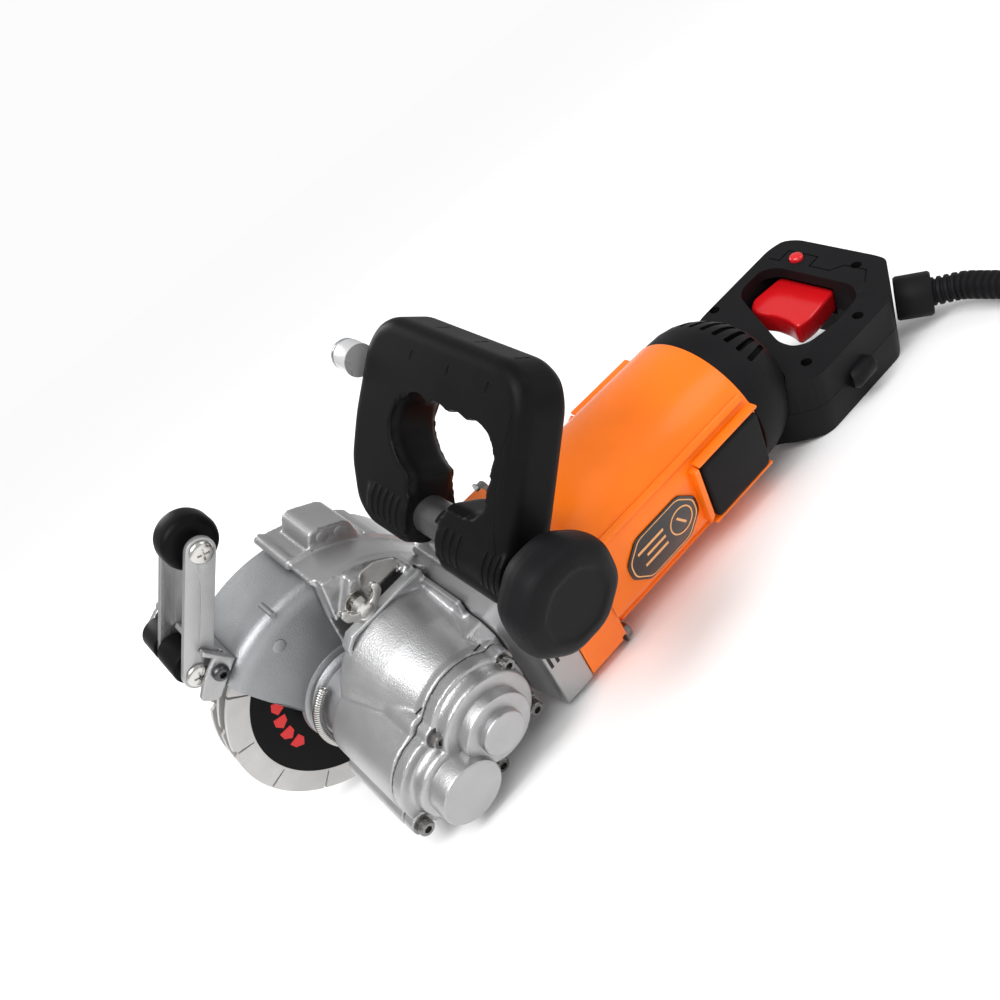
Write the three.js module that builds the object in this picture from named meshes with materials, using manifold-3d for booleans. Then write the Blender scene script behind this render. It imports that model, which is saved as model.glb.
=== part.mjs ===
// Wall chaser: a three-blade slot cutter with a bevel-and-spur gear drive, two handles,
// a hood with a swinging front guard, guide rollers and a mains lead.
// Millimetres. In the tool's own group +X runs along the motor to the blades, +Y is the
// side of the gear cover and +Z is up. The group is then laid on the resting surface z = 0.
import * as THREE from "three";
import { mergeVertices } from "three/addons/utils/BufferGeometryUtils.js";
import Module from "manifold-3d";

const wasm = await Module();
wasm.setup();

// ---- driving dimensions ----
const GAP = 0.3;
const BLADE_R = 66.5;
const BLADE_T = 2.2;
const BLADE_COUNT = 3;
const BLADE_PITCH = 8.6;
const FIRST_BLADE_Y = -58.7;
const CASE_R = 45;
const CASE_FLAT = 42;
const CASE_REAR = -122;
const CASE_BORE = 38;
const FLANGE_FRONT = 26;
const FLANGE_HALF = 42;
const BOLT_HALF = 36;
const INTER = { x: 81.3, z: 0 };
const SPINDLE = { x: 108.8, z: -12 };
const GEAR_MODULE = 1.5;
const PINION_TEETH = 14;
const GEAR_TEETH = 26;
const BEVEL_PINION_TEETH = 9;
const BEVEL_TEETH = 27;
const COVER_FACE = 34;
const CAP_FACE = 52.4;
const GUARD_R = 72.5;
const HOOD_R = 77.5;
const SHEET = 2.5;
const PIVOT = { x: 157.7, z: 57.4 };
const ARM_TOP = { x: 120, z: 107 };
const BAR_BOLT = { x: 150, z: 54.4 };
const TUBE = { x: 35, z: 68, r: 9.5 };
const HANDLE_TILT = 38;
const HANDLE_TOP = 4;
const HANDLE_BOTTOM = -38;
const HANDLE_SPLIT = -17;
const SLEEVE_R = 8.5;
const CORD_R = 4.75;
const COIL_R = 52;
const REST_ROLL = -21.7626;
const REST_PITCH = 0.3896;
const DEG = Math.PI / 180;

// ---- finishes ----
const finish = (color, roughness, metalness) =>
  new THREE.MeshStandardMaterial({ color, roughness, metalness });
const ORANGE = finish(0xff6f00, 0.45, 0.1);
const BLACK = finish(0x15161a, 0.6, 0);
const CAST = finish(0xb9bbbd, 0.45, 0.8);
const GUARD_GREY = finish(0x8f9194, 0.5, 0.7);
const STEEL = finish(0xc8cacc, 0.3, 0.9);
const DARK_STEEL = finish(0x55585c, 0.4, 0.8);
const RIM = finish(0xb4aeac, 0.4, 0.7);
const RUBBER = finish(0x0b0b0c, 0.8, 0);
const RED = finish(0xd1141c, 0.4, 0);
const COPPER = finish(0xb5662e, 0.4, 0.9);
const GLASS = finish(0xdfe6ea, 0.1, 0.1);

// ---- shape helpers ----
const AXES = {
  x: [new THREE.Vector3(0, 1, 0), new THREE.Vector3(0, 0, 1), new THREE.Vector3(1, 0, 0)],
  y: [new THREE.Vector3(1, 0, 0), new THREE.Vector3(0, 0, 1), new THREE.Vector3(0, -1, 0)],
  z: [new THREE.Vector3(1, 0, 0), new THREE.Vector3(0, 1, 0), new THREE.Vector3(0, 0, 1)],
};

function toSolid(geometry) {
  const bare = geometry.clone();
  bare.deleteAttribute("normal");
  bare.deleteAttribute("uv");
  const merged = mergeVertices(bare, 1e-4);
  return new wasm.Manifold(new wasm.Mesh({
    numProp: 3,
    vertProperties: new Float32Array(merged.attributes.position.array),
    triVerts: new Uint32Array(merged.index.array),
  }));
}

function toGeometry(solid) {
  const mesh = solid.getMesh();
  const geometry = new THREE.BufferGeometry();
  geometry.setAttribute("position", new THREE.BufferAttribute(mesh.vertProperties, 3));
  geometry.setIndex(new THREE.BufferAttribute(mesh.triVerts, 1));
  return geometry;
}

// A flat outline extruded along an axis. For x the outline is (y, z), for y it is (x, z)
// and for z it is (x, y).
function prism(axis, points, from, to) {
  const shape = new THREE.Shape(points.map(([u, v]) => new THREE.Vector2(u, v)));
  const depth = to - from;
  const geometry = new THREE.ExtrudeGeometry(shape, { depth, bevelEnabled: false });
  geometry.applyMatrix4(new THREE.Matrix4().makeBasis(...AXES[axis]));
  const shift = axis === "y" ? to : from;
  geometry.translate(axis === "x" ? shift : 0, axis === "y" ? shift : 0, axis === "z" ? shift : 0);
  return toSolid(geometry);
}

function ring(r, sides, u = 0, v = 0, start = 0) {
  const points = [];
  for (let i = 0; i < sides; i += 1) {
    const a = start + (2 * Math.PI * i) / sides;
    points.push([u + r * Math.cos(a), v + r * Math.sin(a)]);
  }
  return points;
}

function rod(axis, r, from, to, u = 0, v = 0, sides = 20) {
  return prism(axis, ring(r, sides, u, v), from, to);
}

function box(x0, x1, y0, y1, z0, z1) {
  const geometry = new THREE.BoxGeometry(x1 - x0, y1 - y0, z1 - z0);
  geometry.translate((x0 + x1) / 2, (y0 + y1) / 2, (z0 + z1) / 2);
  return toSolid(geometry);
}

// A profile of [radius, place along the axis] points, turned about an axis parallel to x or y.
function turned(axis, profile, u = 0, v = 0, sides = 24) {
  const points = profile.map(([r, t]) => new THREE.Vector2(r, t));
  const geometry = new THREE.LatheGeometry(points, sides);
  if (axis === "x") {
    geometry.rotateZ(-Math.PI / 2);
    geometry.translate(0, u, v);
  } else if (axis === "y") {
    geometry.translate(u, 0, v);
  } else {
    geometry.rotateX(Math.PI / 2);
    geometry.translate(u, v, 0);
  }
  const solid = toSolid(geometry);
  return solid.volume() < 0 ? toSolid(flipped(geometry)) : solid;
}

function flipped(geometry) {
  const copy = geometry.clone();
  const index = copy.index.array;
  for (let i = 0; i < index.length; i += 3) {
    const first = index[i];
    index[i] = index[i + 1];
    index[i + 1] = first;
  }
  return copy;
}

const join = (first, ...others) => others.reduce((sum, next) => sum.add(next), first);
const cut = (first, ...others) => others.reduce((rest, next) => rest.subtract(next), first);

const tool = new THREE.Group();

function part(name, solid, material, parent = tool) {
  const mesh = new THREE.Mesh(toGeometry(solid), material);
  mesh.name = name;
  parent.add(mesh);
  return mesh;
}

function polar(radius, degrees, centre = SPINDLE) {
  return [centre.x + radius * Math.cos(degrees * DEG), centre.z + radius * Math.sin(degrees * DEG)];
}

function arc(radius, from, to, steps, centre = SPINDLE) {
  const points = [];
  for (let i = 0; i <= steps; i += 1) {
    points.push(polar(radius, from + ((to - from) * i) / steps, centre));
  }
  return points;
}

// A round bar of radius r that follows a smooth line through the given points.
function tube(points, r, sides, steps) {
  const path = new THREE.CatmullRomCurve3(points, false, "centripetal");
  const section = new THREE.Shape(ring(r, sides).map(([u, v]) => new THREE.Vector2(u, v)));
  return toSolid(new THREE.ExtrudeGeometry(section, { steps, extrudePath: path, bevelEnabled: false }));
}

const boltPlaces = [[-1, 1], [1, 1], [1, -1], [-1, -1]].map(([a, b]) => [a * BOLT_HALF, b * BOLT_HALF]);

// ---- motor case ----
function caseOutline(r, flat) {
  return ring(r, 48).map(([y, z]) => [Math.max(-flat, Math.min(flat, y)), z]);
}

function chamferedSquare(half, chamfer) {
  const c = half - chamfer;
  return [[half, -c], [half, c], [c, half], [-c, half], [-half, c], [-half, -c], [-c, -half], [c, -half]];
}

function buildCase() {
  const body = prism("x", caseOutline(CASE_R, CASE_FLAT), CASE_REAR, 1);
  const flange = prism("x", chamferedSquare(FLANGE_HALF, 9), 0, FLANGE_FRONT);
  const bore = rod("x", CASE_BORE, CASE_REAR - 1, 6, 0, 0, 32);
  const shaftHole = rod("x", 9, 0, FLANGE_FRONT + 1);
  const holes = boltPlaces.map(([y, z]) => rod("x", 2.9, -1, FLANGE_FRONT + 1, y, z, 12));
  part("field_case", cut(join(body, flange), bore, shaftHole, ...holes), ORANGE);
  const label = [[-68, -5], [-58, -15], [-26, -15], [-16, -5], [-16, 5], [-26, 15], [-58, 15], [-68, 5]];
  part("label_plate", prism("y", label, CASE_FLAT + GAP, CASE_FLAT + 1.3), BLACK);
  for (const side of [1, -1]) {
    const wall = side * (CASE_FLAT + GAP);
    const low = Math.min(wall, wall + side * 4.7);
    const insert = box(-119, -75, low, low + 4.7, -18, 20);
    part(side > 0 ? "side_insert_near" : "side_insert_far", insert, BLACK);
  }
}

function socketScrew(name, x, y, z, axis, direction, shank, headR = 4.25) {
  const headLength = headR + 0.6;
  const at = axis === "x" ? x : y;
  const u = axis === "x" ? y : x;
  const head = direction > 0 ? [at, at + headLength] : [at - headLength, at];
  const stem = direction > 0 ? [at - shank, at + 1] : [at - 1, at + shank];
  const socket = direction > 0 ? [head[1] - 2.6, head[1] + 1] : [head[0] - 1, head[0] + 2.6];
  const solid = cut(
    join(rod(axis, headR, ...head, u, z, 12), rod(axis, 2.4, ...stem, u, z, 8)),
    rod(axis, headR * 0.5, ...socket, u, z, 6),
  );
  part(name, solid, STEEL);
}

// ---- rear housing and handle ----
const DOME = [[0, CASE_REAR - GAP], [44.5, CASE_REAR - GAP], [44, -134], [40, -147], [32, -158], [20, -166], [0, -168]];

const HANDLE_OUTLINE = [
  [-128, -36], [-160, -40], [-180, -45], [-248, -46], [-259, -43], [-263, -34], [-263, 20],
  [-262, 36], [-256, 46], [-246, 49], [-164, 49], [-151, 37], [-144, 26], [-128, 22],
];

const HANDLE_HOLE = [
  [-180, 12], [-196, -18], [-205, -34], [-212, -38], [-230, -38], [-236, -30],
  [-236, 22], [-228, 31], [-206, 32.5], [-186, 28], [-180, 22],
];

function buildRear() {
  const outer = turned("x", DOME, 0, 0, 36);
  const hollow = turned("x", DOME.map(([r, x]) => [Math.max(0, r - 4), Math.min(CASE_REAR + 1, x + 4)]), 0, 0, 28);
  const mouth = rod("x", 40.5, -130, CASE_REAR + 1, 0, 0, 28);
  const vents = [];
  for (let i = 0; i < 6; i += 1) {
    const slot = new THREE.BoxGeometry(15, 2.4, 14);
    slot.translate(-148, 0, 38);
    slot.rotateX((18 - i * 11) * DEG);
    vents.push(toSolid(slot));
  }
  part("motor_end_cap", cut(outer, hollow, mouth, ...vents), BLACK);

  const clearance = turned("x", DOME.map(([r, x]) => [r > 0 ? r + GAP : 0, x - (x < -123 ? GAP : -1)]), 0, 0, 36);
  const triggerPocket = box(-246, -218, -38, 8, -22, -2.8);
  const buttonHole = rod("z", 4.7, -12, 10, -247, -24, 16);
  const switchRoom = box(-257, -245.5, -36, 12, -34, -8);
  const cordWay = rod("x", 4.5, -259, -240, 24, HANDLE_SPLIT, 12);
  const gland = prism("z", [[-276.9, 17], [-237.7, 44.7], [-237.7, 70], [-300, 70], [-300, 17]], -60, 20);
  const fingers = prism("z", HANDLE_HOLE, -60, 20);
  const cuts = [fingers, clearance, triggerPocket, buttonHole, switchRoom, cordWay, gland];
  const upper = prism("z", HANDLE_OUTLINE, HANDLE_SPLIT + GAP / 2, HANDLE_TOP);
  const lower = prism("z", HANDLE_OUTLINE, HANDLE_BOTTOM, HANDLE_SPLIT - GAP / 2);
  part("handle_shell_upper", cut(upper, ...cuts), BLACK);
  part("handle_shell_lower", cut(lower, ...cuts), BLACK);
  part("switch_body", box(-256.6, -246.3, -35, 11.5, -33.5, -9), BLACK);
  const bar = prism("z", [
    [-240, -33], [-240, 6], [-214, 7.5], [-204, 5], [-209, -12], [-208.5, -31], [-216, -36],
  ], -21, -6.5);
  part("trigger", bar, RED);
  part("lock_button", join(rod("z", 4.2, -1.5, 6.5, -247, -24, 16), rod("z", 3, -3, 0, -247, -24, 10)), RED);
}

// ---- motor internals ----
function buildMotor() {
  part("stator", cut(rod("x", 37.6, -95, -35, 0, 0, 28), rod("x", 25, -96, -34, 0, 0, 24)), DARK_STEEL);
  for (const side of [1, -1]) {
    const inner = side * 15.5;
    const outer = side * 34;
    const holder = box(-116, -105, Math.min(inner, outer), Math.max(inner, outer), -5, 5);
    part(side > 0 ? "brush_holder_near" : "brush_holder_far", holder, COPPER);
  }
  const shaftHole = rod("x", 5 + GAP, -200, 100, 0, 0, 20);
  part("rotor_core", cut(rod("x", 24, -93, -37, 0, 0, 32), shaftHole), DARK_STEEL);
  part("commutator", cut(rod("x", 14, -118, -98, 0, 0, 28), shaftHole), COPPER);
  const hub = rod("x", 12, -28, -14, 0, 0, 24);
  const plate = rod("x", 34, -17, -14, 0, 0, 32);
  const blades = [];
  for (let i = 0; i < 8; i += 1) {
    const vane = new THREE.BoxGeometry(11, 1.6, 24);
    vane.translate(-22, 0, 21);
    vane.rotateX(i * 45 * DEG);
    blades.push(toSolid(vane));
  }
  part("fan", cut(join(hub, plate, ...blades), shaftHole), BLACK);
}

// ---- gears ----
function spurOutline(teeth, module, phase, u, v) {
  const pitch = (teeth * module) / 2;
  const tip = pitch + module * 0.8;
  const root = pitch - module * 1.15;
  const step = 360 / teeth;
  const points = [];
  for (let i = 0; i < teeth; i += 1) {
    const a = phase + i * step;
    for (const [r, share] of [[root, -0.27], [tip, -0.12], [tip, 0.12], [root, 0.27]]) {
      const angle = (a + share * step) * DEG;
      points.push([u + r * Math.cos(angle), v + r * Math.sin(angle)]);
    }
  }
  return points;
}

const MESH_ANGLE = Math.atan2(SPINDLE.z - INTER.z, SPINDLE.x - INTER.x) / DEG;
const BEVEL_CONE = Math.atan2(BEVEL_TEETH, BEVEL_PINION_TEETH);
const BEVEL_OUTER_R = 20.5;
const BEVEL_FACE = 0.74;

// Bevel wheel on the intermediate shaft. Its teeth are wedges that narrow to the cone's apex.
function bevelWheel() {
  const drop = BEVEL_OUTER_R / Math.tan(BEVEL_CONE);
  const disc = turned("y", [
    [0, drop + 1.8], [BEVEL_OUTER_R * BEVEL_FACE, drop * BEVEL_FACE + 1.6], [BEVEL_OUTER_R, drop + 1.6],
    [BEVEL_OUTER_R, 13], [0, 13],
  ], INTER.x, INTER.z, 27);
  const teeth = [];
  for (let i = 0; i < BEVEL_TEETH; i += 1) {
    const tooth = new THREE.BoxGeometry(1, 1, 1);
    const place = tooth.attributes.position;
    for (let k = 0; k < place.count; k += 1) {
      const share = place.getX(k) > 0 ? 1 : BEVEL_FACE;
      const top = place.getY(k) < 0;
      const half = (top ? 0.55 : 1.15) * share * Math.sign(place.getZ(k));
      const level = top ? drop * share - 1.0 * share : drop * share + 2.6;
      place.setXYZ(k, BEVEL_OUTER_R * share, level, half);
    }
    tooth.rotateY((i * 360 * DEG) / BEVEL_TEETH);
    tooth.translate(INTER.x, 0, INTER.z);
    teeth.push(toSolid(tooth));
  }
  return join(disc, ...teeth);
}

// Motor shaft with its bevel pinion, coned towards the same apex.
function bevelPinion() {
  const outline = spurOutline(BEVEL_PINION_TEETH, 1.4, 0, 0, 0);
  const apex = INTER.x;
  const far = apex - BEVEL_OUTER_R;
  const near = apex - BEVEL_OUTER_R * BEVEL_FACE;
  const shape = new THREE.Shape(outline.map(([u, v]) => new THREE.Vector2(u, v)));
  const geometry = new THREE.ExtrudeGeometry(shape, { depth: near - far, bevelEnabled: false });
  const place = geometry.attributes.position;
  for (let k = 0; k < place.count; k += 1) {
    const share = place.getZ(k) > 1 ? BEVEL_FACE : 1;
    place.setX(k, place.getX(k) * share);
    place.setY(k, place.getY(k) * share);
  }
  geometry.applyMatrix4(new THREE.Matrix4().makeBasis(...AXES.x));
  geometry.translate(far, 0, 0);
  return toSolid(geometry);
}

function buildGears() {
  part("armature_shaft", join(rod("x", 5, -150, 62, 0, 0, 20), rod("x", 7.5, 28, 50, 0, 0, 20), bevelPinion()), STEEL);
  const interBore = rod("y", 6 + GAP, -50, 80, INTER.x, INTER.z, 20);
  part("bevel_wheel", cut(bevelWheel(), interBore), DARK_STEEL);
  const interShaft = rod("y", 6, -18, 44, INTER.x, INTER.z, 20);
  const pinion = prism("y", spurOutline(PINION_TEETH, GEAR_MODULE, MESH_ANGLE, INTER.x, INTER.z), 14, 25);
  part("intermediate_shaft", join(interShaft, pinion), STEEL);
  const phase = MESH_ANGLE + 180 + 180 / GEAR_TEETH;
  const wheel = prism("y", spurOutline(GEAR_TEETH, GEAR_MODULE, phase, SPINDLE.x, SPINDLE.z), 15, 24);
  part("spur_wheel", cut(wheel, rod("y", 8.5 + GAP, 0, 60, SPINDLE.x, SPINDLE.z, 20)), DARK_STEEL);
}

// ---- gear housings ----
const coverScrews = [[103.6, 12.2], [133.2, -23.6], [59.2, -23.7], [58.8, 14.1], [88.4, -33.7]];

function caseSection(grow, from, to) {
  const a = rod("y", 28.5 + grow, from, to, INTER.x, INTER.z, 28);
  const b = rod("y", 27 + grow, from, to, SPINDLE.x, SPINDLE.z, 28);
  const bosses = coverScrews.map(([x, z]) => rod("y", 6 + grow, from, to, x, z, 12));
  return join(a, b, ...bosses);
}

function buildGearHousings() {
  const block = prism("x", chamferedSquare(FLANGE_HALF, 7), FLANGE_FRONT + GAP, 45);
  const throat = prism("x", [[-26, -30], [24, -30], [24, 26], [16, 34], [-18, 34], [-26, 26]], 44, 51);
  const saddle = box(26.5, 45, -10.5, 6.5, 36, 62);
  const bore = rod("x", 18, 20, 60, 0, 0, 28);
  const holes = boltPlaces.map(([y, z]) => rod("x", 2.8, 20, 42, y, z, 12));
  const tubeHole = rod("y", TUBE.r + GAP, -40, 40, TUBE.x, TUBE.z, 28);
  part("gear_head", cut(join(block, throat, saddle), bore, tubeHole, ...holes), CAST);

  const back = prism("x", [[-26, -29], [24, -29], [24, 24], [16, 30], [-18, 30], [-26, 24]], 51 + GAP, 75);
  const outer = join(caseSection(0, -26, 26), back);
  const nose = rod("y", 19, -47, -25, SPINDLE.x, SPINDLE.z, 36);
  const cavity = join(
    rod("y", 22, -19, 30, INTER.x, INTER.z, 28),
    rod("y", 21.7, 8, 30, SPINDLE.x, SPINDLE.z, 28),
  );
  const shaftBore = rod("y", 12.5, -50, 20, SPINDLE.x, SPINDLE.z, 24);
  const motorBore = rod("x", 16, 50, 80, 0, 0, 24);
  const screwHoles = coverScrews.map(([x, z]) => rod("y", 2.7, 10, 30, x, z, 10));
  part("gear_case", cut(join(outer, nose), cavity, shaftBore, motorBore, ...screwHoles), CAST);

  const plate = caseSection(-0.5, 26 + GAP, COVER_FACE);
  const upper = turned("y", [[0, 30], [25.5, 30], [25.5, 41], [18.5, 42], [18.5, 47.5], [11.5, 48.5], [11.5, CAP_FACE], [0, CAP_FACE]], INTER.x, INTER.z, 24);
  const lower = turned("y", [[0, 30], [20, 30], [20, 40], [16.6, 42], [16.6, CAP_FACE], [0, CAP_FACE]], SPINDLE.x, SPINDLE.z, 24);
  const recesses = [
    rod("y", 9, 20, 45, INTER.x, INTER.z, 16),
    rod("y", 12.5, 20, 48, SPINDLE.x, SPINDLE.z, 16),
  ];
  const through = coverScrews.map(([x, z]) => rod("y", 2.9, 20, 60, x, z, 8));
  part("gear_case_cover", cut(join(plate, upper, lower), ...recesses, ...through, ...coverScrews.map(([x, z]) => rod("y", 5.6, COVER_FACE, 60, x, z, 12))), CAST);
  coverScrews.forEach(([x, z], i) => {
    socketScrew(`cover_screw_${i + 1}`, x, COVER_FACE + GAP, z, "y", 1, 16, 4);
  });
  boltPlaces.forEach(([y, z], i) => {
    socketScrew(`flange_screw_${i + 1}`, -GAP, y, z, "x", -1, 38);
  });
}

// ---- spindle, blades, hood and guard ----
function buildSpindle() {
  const at = [SPINDLE.x, SPINDLE.z];
  const shaft = join(rod("y", 9.7, -88.5, -30, ...at, 20), rod("y", 8.5, -31, 44, ...at, 20));
  part("spindle", join(shaft, rod("y", 20, -57.3, -53.5, ...at, 28)), STEEL);
  const bore = rod("y", 9.7 + GAP, -120, 0, ...at, 24);
  for (let i = 0; i < BLADE_COUNT; i += 1) {
    const y = FIRST_BLADE_Y - i * BLADE_PITCH;
    part(`blade_${i + 1}`, cut(bladeDisc(y), bore), RIM);
    if (i < BLADE_COUNT - 1) {
      const from = y - BLADE_PITCH + BLADE_T / 2 + GAP;
      part(`spacer_${i + 1}`, cut(rod("y", 20, from, y - BLADE_T / 2 - GAP, ...at, 28), bore), DARK_STEEL);
    }
  }
  const stackEnd = FIRST_BLADE_Y - (BLADE_COUNT - 1) * BLADE_PITCH - BLADE_T / 2 - GAP;
  const nut = join(rod("y", 21, stackEnd - 3.6, stackEnd, ...at, 28), rod("y", 15, stackEnd - 8.6, stackEnd - 3, ...at, 6));
  part("flange_nut", cut(nut, bore), STEEL);
}

function bladeDisc(y) {
  const slots = [];
  const disc = rod("y", BLADE_R, y - BLADE_T / 2, y + BLADE_T / 2, SPINDLE.x, SPINDLE.z, 48);
  for (let i = 0; i < 6; i += 1) {
    const slot = new THREE.BoxGeometry(15, BLADE_T + 2, 2);
    slot.translate(BLADE_R - 4.5, y, 0);
    slot.rotateY((i * 60 + 14) * DEG);
    slot.translate(SPINDLE.x, 0, SPINDLE.z);
    slots.push(toSolid(slot));
  }
  return cut(disc, ...slots);
}

function buildHood() {
  const low = -42;
  const outerArc = arc(HOOD_R, 101, 203, 20);
  const innerArc = arc(HOOD_R - SHEET, 203, 101, 20);
  const skin = prism("y", [...outerArc, ...innerArc], -98, -43);
  const wall = [...outerArc, [SPINDLE.x - 12, low], [SPINDLE.x - 10, SPINDLE.z]];
  const near = cut(
    prism("y", wall, -43 - SHEET, -43),
    rod("y", 24.5, -60, -40, SPINDLE.x, SPINDLE.z, 32),
  );
  const far = prism("y", wall, -98, -98 + SHEET);
  const bridge = cut(
    prism("y", [...arc(HOOD_R, 104, 170, 10), [50, -8], [58, 22], [76, 34], [92, 40]], -43.5, -26 - GAP),
    rod("y", 25, -60, -20, SPINDLE.x, SPINDLE.z, 28),
    box(0, 51 + GAP, -60, -20, -80, 120),
    box(0, 76, -30, -20, -80, 34),
  );
  const lug = prism("y", [polar(HOOD_R - 1, 109), polar(HOOD_R + 9, 111), polar(HOOD_R + 11, 116), polar(HOOD_R + 11, 127), polar(HOOD_R - 1, 134)], -92, -62);
  const screwHole = rod("y", 3.4, -60, 0, 84, 45, 12);
  part("fixed_hood", cut(join(skin, near, far, bridge, lug), screwHole), CAST);

  const hub = rod("y", 6, -25.5, -22, 84, 45, 16);
  const washer = rod("y", 7.5, -26, -24.6, 84, 45, 18);
  const stem = rod("y", 3, -42, -18, 84, 45, 12);
  const wing = prism("y", [[71, 47], [72, 53], [78, 49], [84, 48], [90, 49], [96, 53], [97, 47], [90, 42], [78, 42]], -21.5, -19);
  part("wing_screw", join(stem, washer, hub, wing), STEEL);
}

function buildGuard() {
  const outerArc = arc(GUARD_R, 52, 126, 20);
  const innerArc = arc(GUARD_R - SHEET, 126, 52, 20);
  const skin = prism("y", [...outerArc, ...innerArc], -93, -48);
  const sector = [polar(22, -6), ...outerArc, polar(24, 126)];
  const near = prism("y", sector, -48 - SHEET, -48);
  const far = cut(prism("y", [polar(34, 24), ...outerArc, polar(34, 126)], -93, -93 + SHEET));
  const hub = rod("y", 23, -48 - SHEET, -40, SPINDLE.x, SPINDLE.z, 40);
  const collar = rod("y", 21.5, -41, -29, SPINDLE.x, SPINDLE.z, 40);
  const bore = rod("y", 19 + 0.4, -80, -20, SPINDLE.x, SPINDLE.z, 40);
  part("moving_guard", cut(join(skin, near, far, hub, collar), bore), GUARD_GREY);

  const springLine = arc(25.5, -60, 62, 14).map(([x, z]) => new THREE.Vector3(x, -35, z));
  part("guard_spring", tube(springLine, 2.6, 8, 16), STEEL);
}

// ---- guide rollers on the guard ----
function barPlate(from, to, y0, y1, lift) {
  const a = 62 * DEG;
  const along = [Math.cos(a), Math.sin(a)];
  const across = [-Math.sin(a), Math.cos(a)];
  const corner = (r, t) => [SPINDLE.x + along[0] * r + across[0] * t, SPINDLE.z + along[1] * r + across[1] * t];
  return prism("y", [corner(from, lift), corner(to, lift), corner(to, lift + SHEET), corner(from, lift + SHEET)], y0, y1);
}

function armSolid(y0, y1) {
  const dx = ARM_TOP.x - PIVOT.x;
  const dz = ARM_TOP.z - PIVOT.z;
  const heading = Math.atan2(dz, dx) / DEG;
  const outline = [...arc(7.1, heading - 90, heading + 90, 10, ARM_TOP), ...arc(7.1, heading + 90, heading + 270, 10, PIVOT)];
  return prism("y", outline, y0, y1);
}

function buildRollers() {
  const plate = barPlate(GUARD_R + GAP, 90, -108, -52.2, 0);
  const notch = (y0, y1) => cut(
    rod("y", 30, y0, y1, PIVOT.x, PIVOT.z, 20),
    rod("y", 76.5, y0 - 1, y1 + 1, SPINDLE.x, SPINDLE.z, 48),
  );
  const earOutline = [polar(GUARD_R + 1.5, 50), polar(86, 49), polar(90.5, 54), polar(89.5, 62.5), polar(GUARD_R + 1.5, 62.5)];
  const tabOutline = [polar(GUARD_R + 1, 47), polar(83, 47), polar(84, 54), polar(84, 62.5), polar(GUARD_R + 1, 63)];
  const earNear = prism("y", earOutline, -64.5, -61);
  const earFar = prism("y", earOutline, -108, -104.4);
  const tab = prism("y", tabOutline, -54.4, -52.2);
  const axleHole = rod("y", 3 + GAP, -130, -56, PIVOT.x, PIVOT.z, 12);
  const boltHole = rod("y", 2.3, -60, -50, BAR_BOLT.x, BAR_BOLT.z, 10);
  const clear = rod("y", GUARD_R + GAP, -120, -40, SPINDLE.x, SPINDLE.z, 72);
  const notched = cut(plate, notch(-61.2, -56.8), notch(-88.7, -84.3));
  part("guard_bar", cut(join(notched, earNear, earFar, tab), axleHole, boltHole, clear), CAST);
  const bolt = join(
    rod("y", 4.1, -51.9, -48, BAR_BOLT.x, BAR_BOLT.z, 16),
    rod("y", 2, -57, -51, BAR_BOLT.x, BAR_BOLT.z, 10),
  );
  part("bar_bolt", cut(bolt, rod("y", 2, -50, -46, BAR_BOLT.x, BAR_BOLT.z, 6)), DARK_STEEL);

  const pivotHole = rod("y", 3 + GAP, -130, -30, PIVOT.x, PIVOT.z, 12);
  const neckHole = rod("y", 5 + GAP, -130, -30, PIVOT.x, PIVOT.z, 16);
  const topHole = rod("y", 3 + GAP, -130, -30, ARM_TOP.x, ARM_TOP.z, 12);
  part("roller_arm_near", cut(armSolid(-60.5, -57.5), pivotHole, topHole), CAST);
  part("roller_arm_far", cut(armSolid(-88, -85), neckHole, topHole), CAST);
  const wheel = turned("y", [
    [3 + GAP, -81], [10.5, -81], [13.8, -78], [13.8, -69], [10.5, -66], [3 + GAP, -66], [3 + GAP, -81],
  ], ARM_TOP.x, ARM_TOP.z, 20);
  part("upper_roller", wheel, RUBBER);
  const roller = turned("y", [
    [3 + GAP, -104], [8.7, -103.4], [8.7, -88.3], [5, -88.3], [5, -84.7], [8.7, -84.7], [8.7, -65.5],
    [7.7, -64.8], [3 + GAP, -64.8], [3 + GAP, -104],
  ], PIVOT.x, PIVOT.z, 16);
  part("lower_roller", roller, RUBBER);
  const screw = (at, far) => join(
    rod("y", 3, far, -57, at.x, at.z, 12),
    turned("y", [[0, -54.7], [3.6, -55], [5.7, -56.4], [5.7, -57.2], [0, -57.2]], at.x, at.z, 14),
  );
  part("upper_axle", screw(ARM_TOP, -91), STEEL);
  part("lower_axle", screw(PIVOT, -110), STEEL);
}

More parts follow.
